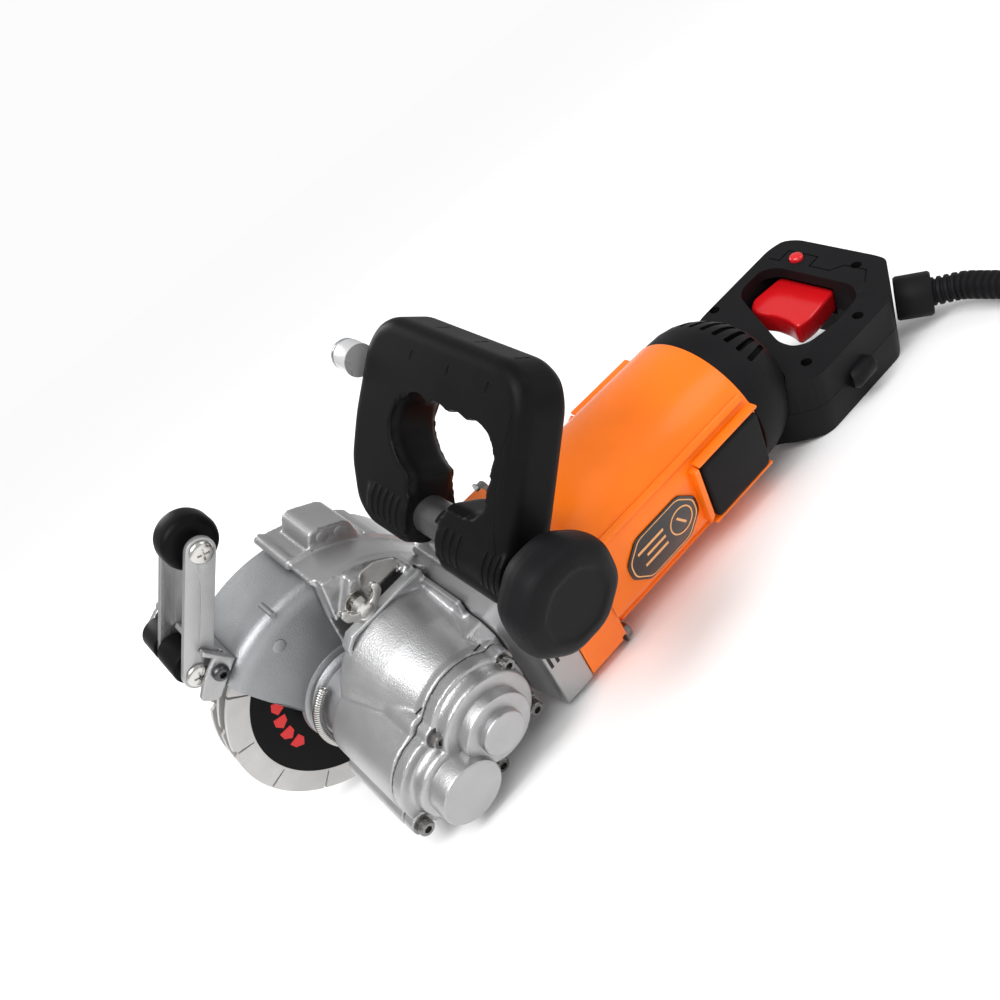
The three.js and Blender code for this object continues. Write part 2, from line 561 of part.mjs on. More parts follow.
// ---- front handle: built upright about its swivel tube, then tilted back ----
function buildFrontHandle() {
  part("handle_tube", cut(rod("y", TUBE.r, -48, 57.5, TUBE.x, TUBE.z, 28), rod("y", 6.4, -60, 60, TUBE.x, TUBE.z, 20)), STEEL);
  const swivel = new THREE.Group();
  swivel.position.set(TUBE.x, 0, TUBE.z);
  swivel.rotation.y = -HANDLE_TILT * DEG;
  tool.add(swivel);
  const outline = [
    [-46, -15], [-60, -6], [-68, 12], [-67, 34], [-62, 68], [-55, 81], [-44, 87], [38, 87], [49, 82], [54, 71],
    [56, 20], [56, -15], [9.5, -15], [9.5, 17], [30, 18], [36, 24], [38, 48], [33, 55], [-22, 54], [-31, 48],
    [-33, 36], [-24, 25], [-13.5, 21], [-13.5, -15],
  ];
  const loop = prism("x", outline, -13.5, 13.5);
  const tubeHole = rod("y", TUBE.r + GAP, -80, 80, 0, 0, 28);
  part("front_handle", cut(loop, tubeHole), BLACK, swivel);
  const socket = cut(rod("y", 8.4, -78, -67, 11, 60, 20), rod("y", 6.6, -82, -72, 11, 60, 16));
  part("lamp_body", socket, STEEL, swivel);
  const lens = turned("y", [
    [0, -84.4], [4, -83.6], [7.4, -81.4], [8.2, -78.3], [6.3, -78.3], [6.3, -72.3], [0, -72.3],
  ], 11, 60, 20);
  part("lamp_lens", lens, GLASS, swivel);
  const knob = turned("y", [[0, 69.3], [20, 69.3], [26.5, 71], [27, 73], [27, 80], [24, 85], [18, 87], [0, 87.5]], TUBE.x, TUBE.z, 24);
  const stud = rod("y", 6, 40, 70, TUBE.x, TUBE.z, 16);
  part("handle_knob", join(knob, stud), BLACK);
}

// ---- lead: the sleeve leaves the corner of the handle, the cord lies on the surface ----
const SLEEVE_LINE = [
  [-257.8, 31.9, -21], [-264.5, 41, -20.8], [-271, 52, -19.5], [-276.5, 64, -17], [-277, 78, -13.5], [-276.5, 92, -9.6], [-275.5, 106, -4.6],
];

function buildSleeve() {
  const line = SLEEVE_LINE.map((p) => new THREE.Vector3(...p));
  const collar = tube([new THREE.Vector3(-257.8, 31.9, -21), new THREE.Vector3(-269.5, 48.5, -21)], 13, 8, 1);
  part("cord_sleeve", join(tube(line, SLEEVE_R, 10, 9), collar), RUBBER);
}

function buildLead(row) {
  const [exit, before] = [SLEEVE_LINE.at(-1), SLEEVE_LINE.at(-2)].map((p) => tool.localToWorld(new THREE.Vector3(...p)));
  const heading = exit.clone().sub(before).setZ(0).normalize();
  const start = exit.clone().addScaledVector(exit.clone().sub(before).normalize(), 1.1);
  const floor = CORD_R + 0.45;
  const centre = new THREE.Vector3(exit.x + 45, exit.y + 132, 0);
  const joinAt = new THREE.Vector3(centre.x - COIL_R - 19.6, centre.y, floor);
  const line = [
    start,
    exit.clone().addScaledVector(heading, 18).setZ(floor + 1.6),
    exit.clone().addScaledVector(heading, 40).setZ(floor),
    joinAt.clone().add(new THREE.Vector3(1, -46, 0)),
    joinAt.clone().add(new THREE.Vector3(0, -18, 0)),
    joinAt.clone().add(new THREE.Vector3(0, 4, 0)),
  ];
  part("cord", tube(line, CORD_R, 8, 16), RUBBER, row);

  const section = [[COIL_R - 9.5, 0.15], [COIL_R + 9.5, 0.15], [COIL_R + 14.2, 4.9], [COIL_R + 9.5, 19], [COIL_R - 9.5, 19], [COIL_R - 14.2, 4.9]];
  const coil = turned("z", [...section, section[0]], 0, 0, 24);
  part("cord_coil", coil, RUBBER, row).position.set(centre.x, centre.y, 0);

  const profile = [[0, 0], [5.6, 0], [6.4, 14], [9, 17], [17.8, 22], [18.4, 30], [18.4, 52], [16.4, 54], [0, 54]];
  const pins = [-9.5, 9.5].map((v) => rod("x", 2.4, 53, 73, v, 0, 10));
  const plug = part("plug", join(turned("x", profile, 0, 0, 24), ...pins), BLACK, row);
  plug.position.set(centre.x + 2, centre.y + COIL_R + 33.5, 18.6);
}

buildCase();
buildRear();
buildMotor();
buildGears();
buildGearHousings();
buildSpindle();
buildHood();
buildGuard();
buildRollers();
buildFrontHandle();
buildSleeve();

// The machine rests on the handle's lower edge, the gear head's lower corner and the blades.
const row = new THREE.Group();
row.add(tool);
tool.rotation.set(REST_ROLL * DEG, REST_PITCH * DEG, 0, "YXZ");
row.updateMatrixWorld(true);
const bounds = new THREE.Box3();
for (const mesh of tool.children) {
  if (mesh.name !== "cord_sleeve") {
    bounds.expandByObject(mesh, true);
  }
}
const middle = bounds.getCenter(new THREE.Vector3());
tool.position.set(-middle.x, -middle.y, -bounds.min.z);
row.updateMatrixWorld(true);
buildLead(row);

export default row;
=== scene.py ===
# Looks for the wall chaser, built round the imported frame. Sizes below are in millimetres, in the
# tool's own frame: X along the motor to the blades, Y towards the gear cover, Z up.
import math
import bmesh
import bpy
from mathutils import Euler, Matrix, Vector


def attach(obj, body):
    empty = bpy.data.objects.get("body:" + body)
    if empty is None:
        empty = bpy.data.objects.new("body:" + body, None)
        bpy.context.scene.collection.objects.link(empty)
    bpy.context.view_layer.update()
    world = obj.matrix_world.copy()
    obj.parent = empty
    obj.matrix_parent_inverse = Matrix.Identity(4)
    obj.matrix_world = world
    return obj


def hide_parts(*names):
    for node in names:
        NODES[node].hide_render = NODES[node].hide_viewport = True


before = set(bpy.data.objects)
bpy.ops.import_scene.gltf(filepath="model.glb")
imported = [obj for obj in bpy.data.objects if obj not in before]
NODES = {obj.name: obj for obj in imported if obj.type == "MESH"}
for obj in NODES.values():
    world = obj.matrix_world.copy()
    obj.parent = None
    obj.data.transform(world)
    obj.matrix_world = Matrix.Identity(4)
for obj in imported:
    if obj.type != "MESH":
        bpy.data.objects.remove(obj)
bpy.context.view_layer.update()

ROLL, PITCH = -21.7626, 0.3896
ORIGIN = Vector((43.935, -3.1801, 52.3426))
SPINDLE = (108.8, -12.0)
INTER = (81.3, 0.0)
TUBE = (35.0, 68.0)
PIVOT = (157.7, 57.4)
ARM_TOP = (120.0, 107.0)
TILT = 38.0
CASE_R, CASE_FLAT = 45, 42
HOOD_R = 77.5
BLADE_R, CORE_R = 66.5, 54.3
FIRST_BLADE_Y, BLADE_PITCH = -58.7, 8.6
ARM_WIDTH_R = 7.1
LEAD_R = 4.75
ROT = Matrix.Rotation(math.radians(PITCH), 4, "Y") @ Matrix.Rotation(math.radians(ROLL), 4, "X")
TOOL = Matrix.Translation(ORIGIN * 0.001) @ ROT @ Matrix.Scale(0.001, 4)
SWIVEL = TOOL @ Matrix.Translation((TUBE[0], 0, TUBE[1])) @ Matrix.Rotation(math.radians(-TILT), 4, "Y")


# ---------- materials ----------
def material(name, color, rough, metal=0.0, grain=None, bump=0.0, spread=0.0, coat=0.0, tint=0.0, **extra):
    """Principled finish: grain is the noise scale per metre, bump its height, spread its roughness swing."""
    m = bpy.data.materials.new(name)
    m.use_nodes = True
    t = m.node_tree
    b = t.nodes["Principled BSDF"]
    b.inputs["Base Color"].default_value = (*color, 1)
    b.inputs["Roughness"].default_value = rough
    b.inputs["Metallic"].default_value = metal
    b.inputs["Coat Weight"].default_value = coat
    b.inputs["Coat Roughness"].default_value = 0.15
    for key, value in extra.items():
        b.inputs[key.replace("_", " ")].default_value = value
    if grain:
        where = t.nodes.new("ShaderNodeTexCoord")
        fine = t.nodes.new("ShaderNodeTexNoise")
        fine.inputs["Scale"].default_value = grain
        fine.inputs["Detail"].default_value = 3
        t.links.new(where.outputs["Object"], fine.inputs["Vector"])
        broad = t.nodes.new("ShaderNodeTexNoise")
        broad.inputs["Scale"].default_value = 45
        broad.inputs["Detail"].default_value = 5
        t.links.new(where.outputs["Object"], broad.inputs["Vector"])
        if bump:
            raise_it = t.nodes.new("ShaderNodeBump")
            raise_it.inputs["Strength"].default_value = bump
            raise_it.inputs["Distance"].default_value = 0.0004
            t.links.new(fine.outputs["Fac"], raise_it.inputs["Height"])
            t.links.new(raise_it.outputs["Normal"], b.inputs["Normal"])
        if spread:
            swing = t.nodes.new("ShaderNodeMapRange")
            swing.inputs["To Min"].default_value = rough - spread
            swing.inputs["To Max"].default_value = rough + spread
            t.links.new(broad.outputs["Fac"], swing.inputs["Value"])
            t.links.new(swing.outputs["Result"], b.inputs["Roughness"])
        if tint:
            ramp = t.nodes.new("ShaderNodeMapRange")
            ramp.inputs["From Min"].default_value = 0.3
            ramp.inputs["From Max"].default_value = 0.7
            ramp.inputs["To Min"].default_value = 1 - tint
            ramp.inputs["To Max"].default_value = 1 + tint * 0.5
            t.links.new(broad.outputs["Fac"], ramp.inputs["Value"])
            mix = t.nodes.new("ShaderNodeVectorMath")
            mix.operation = "SCALE"
            mix.inputs[0].default_value = color
            t.links.new(ramp.outputs["Result"], mix.inputs["Scale"])
            t.links.new(mix.outputs["Vector"], b.inputs["Base Color"])
    return m


ORANGE = material("orange_paint", (1.0, 0.19, 0.002), 0.36, 0.0, 900, 0.10, 0.06, 0.2, 0.05, Specular_IOR_Level=0.35)
BLACK = material("black_plastic", (0.008, 0.008, 0.009), 0.48, 0.0, 2600, 0.28, 0.07, 0.0, 0.15, Specular_IOR_Level=0.1)
GRIP = material("grip_black", (0.005, 0.005, 0.0055), 0.42, 0.0, 2200, 0.16, 0.06, 0.0, 0.15, Specular_IOR_Level=0.08)
RUBBER = material("black_rubber", (0.008, 0.008, 0.009), 0.6, 0.0, 1500, 0.15, 0.05, 0.0, 0.1, Specular_IOR_Level=0.12)
ROLLER = material("roller_rubber", (0.004, 0.004, 0.0045), 0.42, 0.0, 1500, 0.10, 0.05, Specular_IOR_Level=0.08)
CAST = material("cast_aluminium", (0.45, 0.45, 0.455), 0.36, 0.85, 1300, 0.42, 0.09, 0.0, 0.10)
CAST_DARK = material("guard_casting", (0.33, 0.335, 0.345), 0.42, 0.72, 1500, 0.50, 0.08, 0.0, 0.10)
# A lighter, smoother copy of the cast aluminium: painted highlight for the lit rim of the gear case.
HIGHLIGHT_CAST = material("casting_painted_highlight", (0.66, 0.665, 0.67), 0.30, 0.85, 1000, 0.45, 0.10, 0.0, 0.10)
ZINC = material("zinc_steel", (0.62, 0.61, 0.585), 0.24, 1.0, 700, 0.12, 0.08, 0.0, 0.12)
DARK = material("dark_steel", (0.10, 0.10, 0.105), 0.32, 0.95, 900, 0.15, 0.08, 0.0, 0.12)
RIM = material("blade_rim", (0.56, 0.55, 0.54), 0.42, 0.5, 1500, 0.30, 0.10, 0.0, 0.15)
COPPER = material("copper", (0.55, 0.24, 0.10), 0.32, 1.0, 500, 0.10, 0.08, 0.0, 0.15)
RED = material("red_plastic", (0.62, 0.006, 0.010), 0.26, 0.0, 500, 0.04, 0.04, 0.3, 0.05)
LABEL = material("label_black", (0.008, 0.008, 0.009), 0.22, 0.0, 500, 0.03, 0.04, 0.4)
MARK = material("label_mark", (0.85, 0.42, 0.16), 0.35, 0.0, 500, 0.02, 0.04)
ARROW = material("arrow_red", (0.72, 0.008, 0.008), 0.35, 0.0, 600, 0.05, 0.05)
DISC = material("blade_black", (0.004, 0.004, 0.0045), 0.34, 0.0, 900, 0.08, 0.08, 0.0, Specular_IOR_Level=0.08)
CHROME = material("chrome", (0.75, 0.75, 0.76), 0.28, 0.6, 300, 0.05, 0.04)
SCREW = material("screw_steel", (0.26, 0.255, 0.25), 0.28, 1.0, 900, 0.12, 0.08, 0.0, 0.12)
LENS = material("lens", (0.93, 0.95, 0.97), 0.04, 0.0, 300, 0.05, 0.01, IOR=1.45)
LENS.node_tree.nodes["Principled BSDF"].inputs["Transmission Weight"].default_value = 0.9
# Near-black painted shade, put on thin sheets where vent slots and casting gaps would lie in shade.
SHADOW = material("recess_painted_shade", (0.004, 0.004, 0.004), 0.7, 0.0, 900, 0.05, 0.05)


# ---------- shapes ----------
def place(axis, u, v, t):
    return {"x": (t, u, v), "y": (u, t, v), "z": (u, v, t)}[axis]


class Build:
    """Closed shapes gathered in one mesh. A point is (x, y, z) in millimetres of the tool's frame."""

    def __init__(self):
        self.bm = bmesh.new()

    def loft(self, loops, ends=True, closed=False):
        rings = [[self.bm.verts.new(p) for p in loop] for loop in loops]
        n = len(rings[0])
        pairs = list(zip(rings, rings[1:]))
        if closed:
            pairs.append((rings[-1], rings[0]))
        for a, b in pairs:
            for i in range(n):
                self.bm.faces.new((a[i], a[(i + 1) % n], b[(i + 1) % n], b[i]))
        if ends and not closed:
            self.bm.faces.new(rings[0][::-1])
            self.bm.faces.new(rings[-1])
        return self

    def prism(self, axis, points, a, b):
        return self.loft([[place(axis, u, v, t) for u, v in points] for t in (a, b)])

    def rod(self, axis, r, a, b, u=0, v=0, n=64):
        return self.turned(axis, [(r, a), (r, b)], u, v, n)

    def box(self, x0, x1, y0, y1, z0, z1):
        return self.prism("z", [(x0, y0), (x1, y0), (x1, y1), (x0, y1)], z0, z1)

    def turned(self, axis, profile, u=0, v=0, n=64, lobes=0, depth=0.0):
        loops = []
        for r, t in profile:
            loop = []
            for i in range(n):
                a = 2 * math.pi * i / n
                q = max(r, 0.01) * (1 - depth * (1 + math.cos(lobes * a)) / 2)
                loop.append(place(axis, u + q * math.cos(a), v + q * math.sin(a), t))
            loops.append(loop)
        return self.loft(loops)

    def ring(self, axis, profile, u=0, v=0, n=64):
        """A closed profile of (r, t) points turned into a ring."""
        loops = []
        for i in range(n):
            a = 2 * math.pi * i / n
            loops.append([place(axis, u + r * math.cos(a), v + r * math.sin(a), t) for r, t in profile])
        return self.loft(loops, closed=True)

    def sweep(self, path, radii, n=24, flat=1.0):
        """Round bar through path, with a radius at each point. flat squeezes it along its side axis."""
        loops = []
        side = None
        for i, p in enumerate(path):
            ahead = (Vector(path[min(i + 1, len(path) - 1)]) - Vector(path[max(i - 1, 0)])).normalized()
            if side is None:
                side = ahead.cross(Vector((1, 0, 0)))
                if side.length < 0.2:
                    side = ahead.cross(Vector((0, 0, 1)))
            side = (side - ahead * side.dot(ahead)).normalized()
            up = ahead.cross(side)
            r = radii[i] if isinstance(radii, (list, tuple)) else radii
            loops.append([
                tuple(Vector(p) + side * r * math.cos(w) + up * r * flat * math.sin(w))
                for w in (2 * math.pi * k / n for k in range(n))
            ])
        return self.loft(loops)

    def object(self, name, finish, matrix=TOOL):
        bmesh.ops.recalc_face_normals(self.bm, faces=self.bm.faces)
        mesh = bpy.data.meshes.new(name)
        self.bm.to_mesh(mesh)
        self.bm.free()
        mesh.transform(matrix)
        mesh.materials.append(finish)
        obj = bpy.data.objects.new(name, mesh)
        bpy.context.scene.collection.objects.link(obj)
        return obj


def bake(obj):
    dg = bpy.context.evaluated_depsgraph_get()
    done = bpy.data.meshes.new_from_object(obj.evaluated_get(dg))
    obj.modifiers.clear()
    obj.data = done


def carve(obj, tools, solver="EXACT"):
    """Cuts each tool's shape out of obj."""
    for tool in tools:
        m = obj.modifiers.new("cut", "BOOLEAN")
        m.object = tool
        m.operation = "DIFFERENCE"
        m.solver = solver
    bake(obj)
    for tool in tools:
        bpy.data.objects.remove(tool)


def cast(obj, voxel, smooth=4, factor=0.5):
    """Fuses obj's shapes into one skin with soft fillets."""
    m = obj.modifiers.new("fuse", "REMESH")
    m.mode = "VOXEL"
    m.voxel_size = voxel * 0.001
    m.use_smooth_shade = True
    s = obj.modifiers.new("soften", "SMOOTH")
    s.factor = factor
    s.iterations = smooth
    bake(obj)


def bevel(obj, width, segments=3, angle=35):
    m = obj.modifiers.new("edge", "BEVEL")
    m.width = width * 0.001
    m.segments = segments
    m.limit_method = "ANGLE"
    m.angle_limit = math.radians(angle)
    m.harden_normals = False
    bake(obj)


def shade(obj, angle=40):
    obj.data.shade_smooth()
    m = obj.modifiers.new("normals", "EDGE_SPLIT")
    m.split_angle = math.radians(angle)
    bake(obj)
    return obj


def settle(obj, body, slot, *nodes):
    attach(obj, body)
    if nodes:
        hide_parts(*nodes)
    return obj


def circle(r, n, u=0, v=0, a0=0.0, a1=360.0):
    full = abs(a1 - a0) >= 360
    count = n if full else n + 1
    return [
        (u + r * math.cos(math.radians(a0 + (a1 - a0) * i / n)), v + r * math.sin(math.radians(a0 + (a1 - a0) * i / n)))
        for i in range(count)
    ]


def polar(r, deg):
    return (SPINDLE[0] + r * math.cos(math.radians(deg)), SPINDLE[1] + r * math.sin(math.radians(deg)))


def arc(r, a0, a1, n):
    return [polar(r, a0 + (a1 - a0) * i / n) for i in range(n + 1)]


def rounded(points, r, n=5):
    """The outline with each corner turned into an arc of about radius r."""
    out = []
    for i, p in enumerate(points):
        p = Vector(p)
        a = Vector(points[i - 1]) - p
        b = Vector(points[(i + 1) % len(points)]) - p
        cut = min(r, a.length * 0.45, b.length * 0.45)
        start, end = p + a.normalized() * cut, p + b.normalized() * cut
        for k in range(n + 1):
            t = k / n
            out.append(tuple(start * (1 - t) ** 2 + p * 2 * t * (1 - t) + end * t * t))
    return out


# ---------- motor case ----------
def case_outline(r, flat, n=120):
    return [(max(-flat, min(flat, y)), z) for y, z in circle(r, n)]


body = Build().prism("x", case_outline(CASE_R, CASE_FLAT), -122, 2).object("case_barrel", ORANGE)
bevel(body, 0.8, 2)
settle(shade(body, 30), "housing", "orange_paint", "field_case")
flange = Build().prism("x", [(42, -33), (42, 33), (33, 42), (-33, 42), (-42, 33), (-42, -33), (-33, -42),
    (33, -42)], 0, 25.9)
flange = flange.object("case_flange", ORANGE)
carve(flange, [
    Build().rod("x", 8, -5, 3, y, z, 40).object("seat", ORANGE) for y in (-36, 36) for z in (-36, 36)
])
bevel(flange, 1.6, 3)
settle(shade(flange, 30), "housing", "orange_paint")
ribs = Build()
ribs.prism("x", [(38, 23.5), (39.6, 24.6), (36.9, 27.9), (35.2, 26.8)], -119, -3)
ribs.prism("x", [(38, -23.5), (35.2, -26.8), (36.9, -27.9), (39.6, -24.6)], -119, -3)
ribs = ribs.object("case_ridges", ORANGE)
bevel(ribs, 0.6, 2)
settle(shade(ribs), "housing", "orange_paint")
frame_near = Build()
for side in (1, -1):
    wall = 42 * side
    low, high = sorted((wall - 1 * side, wall + 4.4 * side))
    frame_near.prism("y", [(-73.6, -14), (-70, -17), (-70, 19.5), (-73.6, 20.8)], low, high)
    frame_near.prism("y", [(-120.5, 20.6), (-73.6, 20.6), (-73.6, 22.4), (-120.5, 22.4)], low, high)
    frame_near.prism("y", [(-120.5, -20.4), (-73.6, -20.4), (-72, -18.6), (-120.5, -18.6)], low, high)
frame_near = frame_near.object("insert_frames", ORANGE)
bevel(frame_near, 0.7, 2)
settle(shade(frame_near), "housing", "orange_paint")
for side, name in ((1, "side_insert_near"), (-1, "side_insert_far")):
    low, high = sorted((42.2 * side, 47 * side))
    pad = Build().prism("y", rounded([(-119, -18), (-75, -18), (-75, 20), (-119, 20)], 4), low,
        high).object(name + "_pad", BLACK)
    bevel(pad, 1.8, 4)
    settle(shade(pad), "housing", "black_plastic", name)

LABEL_EDGE = [(-68, -5), (-58, -15), (-26, -15), (-16, -5), (-16, 5), (-26, 15), (-58, 15), (-68, 5)]


def inset(points, k):
    c = Vector((sum(p[0] for p in points), sum(p[1] for p in points))) / len(points)
    return [tuple(c + (Vector(p) - c) * k) for p in points]


plate = Build().prism("y", rounded(LABEL_EDGE, 3), 42.2, 43.1).object("label_sheet", LABEL)
bevel(plate, 0.3, 2)
settle(shade(plate), "housing", "label_black", "label_plate")
marks = Build()
outer, inner = rounded(inset(LABEL_EDGE, 0.93), 3), rounded(inset(LABEL_EDGE, 0.90), 3)
for i in range(len(outer)):
    j = (i + 1) % len(outer)
    marks.prism("y", [outer[i], outer[j], inner[j], inner[i]], 43.0, 43.25)
marks.ring("y", [(7.4, 43.0), (8.2, 43.0), (8.2, 43.3), (7.4, 43.3)], -55, 0, 48)
marks.prism("y", [(-58, -3.2), (-56.8, -3.8), (-52, 3.2), (-53.2, 3.8)], 43.0, 43.3)
for k, (a, b) in enumerate(((-43, -24), (-43, -29), (-43, -26))):
    marks.prism("y", [(a, 5 - 5 * k), (b, 5 - 5 * k), (b, 6.6 - 5 * k), (a, 6.6 - 5 * k)], 43.0, 43.25)
settle(marks.object("label_marks", MARK), "housing", "label_black")


# ---------- screws ----------
def cap_screw(name, axis, u, v, seat, way, r, body="housing", finish=SCREW, slot="zinc_steel"):
    tall = r + 0.6
    knurl = Build().turned(axis, [
        (r * 0.9, seat), (r, seat + way * 0.3), (r, seat + way * (tall - 0.7)), (r * 0.86, seat + way * tall),
    ], u, v, 72, 24, 0.035)
    knurl.rod(axis, 2.3, seat - way * 6, seat + way, u, v, 24)
    head = knurl.object(name + "_head", finish)
    carve(head, [Build().rod(axis, r * 0.52, seat + way * (tall - 2.4), seat + way * (tall + 2), u,
        v, 6).object("hex", finish)])
    washer = Build().ring(axis, [(2.6, seat - way * 0.05), (r + 1.2, seat - way * 0.05), (r + 1.2, seat + way * 0.5),
        (2.6, seat + way * 0.5)], u, v, 40)
    settle(shade(head, 32), body, slot, name)
    settle(shade(washer.object(name + "_washer", finish), 32), body, slot)


COVER_SCREWS = [(103.6, 12.2), (133.2, -23.6), (59.2, -23.7), (58.8, 14.1), (88.4, -33.7)]
for i, (x, z) in enumerate(COVER_SCREWS):
    cap_screw("cover_screw_%d" % (i + 1), "y", x, z, 34.1, 1, 4)
for i, (y, z) in enumerate(((-36, 36), (36, 36), (36, -36), (-36, -36))):
    cap_screw("flange_screw_%d" % (i + 1), "x", y, z, -0.1, -1, 4.2)

# ---------- motor end cap ----------
dome = Build().turned("x", [
    (20, -122.3), (44.4, -122.3), (44.6, -124), (44.2, -134), (42.6, -141), (40, -147), (36.5, -152.5),
    (32, -157.6), (26, -162.2), (20, -165.2), (10, -167.4), (0.5, -168),
], 0, 0, 128)
dome = dome.object("end_cap_shell", BLACK)
slots = []
for i in range(8):
    turn = Matrix.Rotation(math.radians(30 - i * 10.5), 4, "X")
    slot = Build().prism("z", rounded([(-157, -1.55), (-139, -1.55), (-139, 1.55), (-157, 1.55)], 1.5, 4), 31, 52)
    slots.append(slot.object("slot", SHADOW, TOOL @ turn))
for i in range(5):
    turn = Matrix.Rotation(math.radians(150 + i * 14), 4, "X")
    slot = Build().prism("z", rounded([(-143, -1.5), (-131, -1.5), (-131, 1.5), (-143, 1.5)], 1.4, 4), 34, 52)
    slots.append(slot.object("slot", SHADOW, TOOL @ turn))
carve(dome, slots)
settle(shade(dome, 35), "housing", "black_plastic", "motor_end_cap")

# ---------- rear handle ----------
OUTLINE = rounded([
    (-128, -36), (-160, -40), (-180, -45), (-248, -46), (-259, -43), (-263, -34), (-263, 20),
    (-262, 27), (-240, 44), (-232, 49), (-164, 49), (-151, 37), (-144, 26), (-128, 22),
], 7, 6)
HOLE = rounded([
    (-180, 12), (-196, -18), (-205, -34), (-212, -38), (-230, -38), (-236, -30),
    (-236, 22), (-228, 31), (-206, 32.5), (-186, 28), (-180, 22),
], 6, 6)
for name, z0, z1 in (("handle_shell_upper", -16.85, 4), ("handle_shell_lower", -38, -17.15)):
    shell = Build().prism("z", OUTLINE, z0, z1).object(name + "_skin", BLACK)
    cuts = [Build().prism("z", HOLE, -60, 30).object("fingers", BLACK)]
    cuts.append(Build().box(-246, -218, -38, 8, -22, -2.8).object("pocket", BLACK))
    cuts.append(Build().turned("x", [(45, -110), (45, -136), (40, -148), (32, -158.5), (20, -166),
        (1, -168.6)], 0, 0, 64).object("cap", BLACK))
    carve(shell, cuts)
    m = shell.modifiers.new("edge", "BEVEL")
    m.width = 0.0042
    m.segments = 4
    m.limit_method = "ANGLE"
    m.angle_limit = math.radians(50)
    bake(shell)
    if z1 > 0:
        holes = [Build().rod("z", 4.7, -9, 12, -247, -24, 32).object("button", BLACK)]
        for x, y in ((-214, 40), (-252, 14), (-172, 36), (-190, -42)):
            holes.append(Build().rod("z", 3.1, -4, 12, x, y, 24).object("screw", BLACK))
        line = [(-242, -40), (-242, -33), (-252, -33), (-252, -12), (-243, -12), (-243, 2), (-250, 8), (-250, 22),
            (-241, 27), (-232, 40)]
        for a, b in zip(line, line[1:]):
            d = (Vector(b) - Vector(a)).normalized() * 0.45
            s = Vector((-d.y, d.x))
            ends = [tuple(Vector(a) - d + s), tuple(Vector(a) - d - s), tuple(Vector(b) + d - s),
                tuple(Vector(b) + d + s)]
            holes.append(Build().prism("z", ends, 3.1, 8).object("groove", BLACK))
        carve(shell, holes)
    settle(shade(shell, 38), "housing", "black_plastic", name)
clip = Build().sweep([(-203, 49, -18), (-202, 49.6, -18), (-189, 49.6, -18), (-188, 49, -18)],
    [5.4, 6.6, 6.6, 5.4], 32, 1.0)
settle(shade(clip.object("cord_clip", BLACK), 38), "housing", "black_plastic")
trigger = Build().prism("z", rounded([
    (-240, -33), (-240, 6), (-214, 7.5), (-204, 5), (-207.5, -4), (-208.5, -15), (-206, -26), (-208.5, -32), (-216,
        -36),
], 3.4, 5), -21, -6.6).object("trigger_lever", RED)
bevel(trigger, 3.0, 5, 50)
settle(shade(trigger, 40), "trigger_piece", "red_plastic", "trigger")
button = Build().turned("z", [(4.2, -1.4), (4.3, 4.4), (4.0, 5.6), (3.0, 6.3), (1.2, 6.6), (0.1, 6.65)], -247, -24, 40)
settle(shade(button.object("lock_cap", RED), 45), "button", "red_plastic", "lock_button")

# ---------- gear head, gear case and cover ----------
head = Build()
head.prism("x", rounded([(42, -35), (42, 35), (35, 42), (-35, 42), (-42, 35), (-42, -35), (-35, -42),
    (35, -42)], 2, 3), 26.3, 45)
lower = [(30, -36), (30, 30), (24, 36), (-26, 36), (-32, 30), (-32, -30), (-26, -36)]
head.loft([[(44.5, y * 1.22, z * 1.12) for y, z in lower], [(50.8, y * 0.86, z * 0.82) for y, z in lower]])
head.box(26.5, 45, -10, 6, 36, 60)
head = head.object("gear_head_casting", CAST)
cast(head, 0.9, 4)
carve(head, [Build().rod("y", 10.2, -40, 40, *TUBE, 48).object("bore", CAST)])
settle(shade(head, 60), "housing", "cast_aluminium", "gear_head")
# Near-black strips laid on the gear head flat where the vent slots are: painted shade in place of the slots' recesses.
vent_shade_strips = Build()
for i in range(4):
    vent_shade_strips.box(29.5 + i * 4, 31.3 + i * 4, 41.8, 42.15, -6, 26)
settle(vent_shade_strips.object("head_slot_painted_shade", SHADOW), "housing", "cast_aluminium")

case = Build()
case.rod("y", 28.5, -26, 25.8, *INTER, 128)
case.rod("y", 27, -26, 25.8, *SPINDLE, 128)
for x, z in COVER_SCREWS:
    case.rod("y", 6, -22, 25.8, x, z, 32)
case.rod("y", 7.0, -30, 25.6, 104.4, 12.8, 40)
case.prism("x", [(-26, -29), (24, -29), (24, 18), (16, 24), (-18, 24), (-26, 20)], 51.3, 75)
shoulder = []
for y, r in ((-26, 39.6), (-18, 38.4), (0, 34.5), (20, 28.8)):
    half = [(INTER[0] + r * math.cos(math.radians(a)), y, r * math.sin(math.radians(a))) for a in range(12, 139, 6)]
    shoulder.append(half + [(53, y, 8), (53, y, -4), (95, y, -4)])
case.loft(shoulder)
case.rod("y", 19, -47, -25, *SPINDLE, 96)
case.rod("y", 23.5, -29.5, -25, *SPINDLE, 96)
case.prism("y", [(104, 26), (101.5, 35.5), (97, 39.4), (54, 40.6), (51.5, 38), (51.5, 0), (104, 0)], -26, -23)
case.box(51.4, 54.5, -22, 6, 15, 33.5)
case = case.object("gear_case_casting", CAST)
cast(case, 0.8, 5)
settle(shade(case, 60), "housing", "cast_aluminium", "gear_case")
# Rim along the gear case flange, in the lighter copy of the casting: painted highlight along the rim.
lip = Build().prism("y", [(104.6, 27), (102.6, 36.2), (97.6, 40.6), (53.5, 41.8), (53.5, 39.2), (96.6, 38.6),
    (100.8, 34.8), (103.4, 27)], -26.6, -20.6)
lip = lip.object("lip_painted_highlight", HIGHLIGHT_CAST)
bevel(lip, 0.4, 2)
settle(shade(lip), "housing", "cast_aluminium")
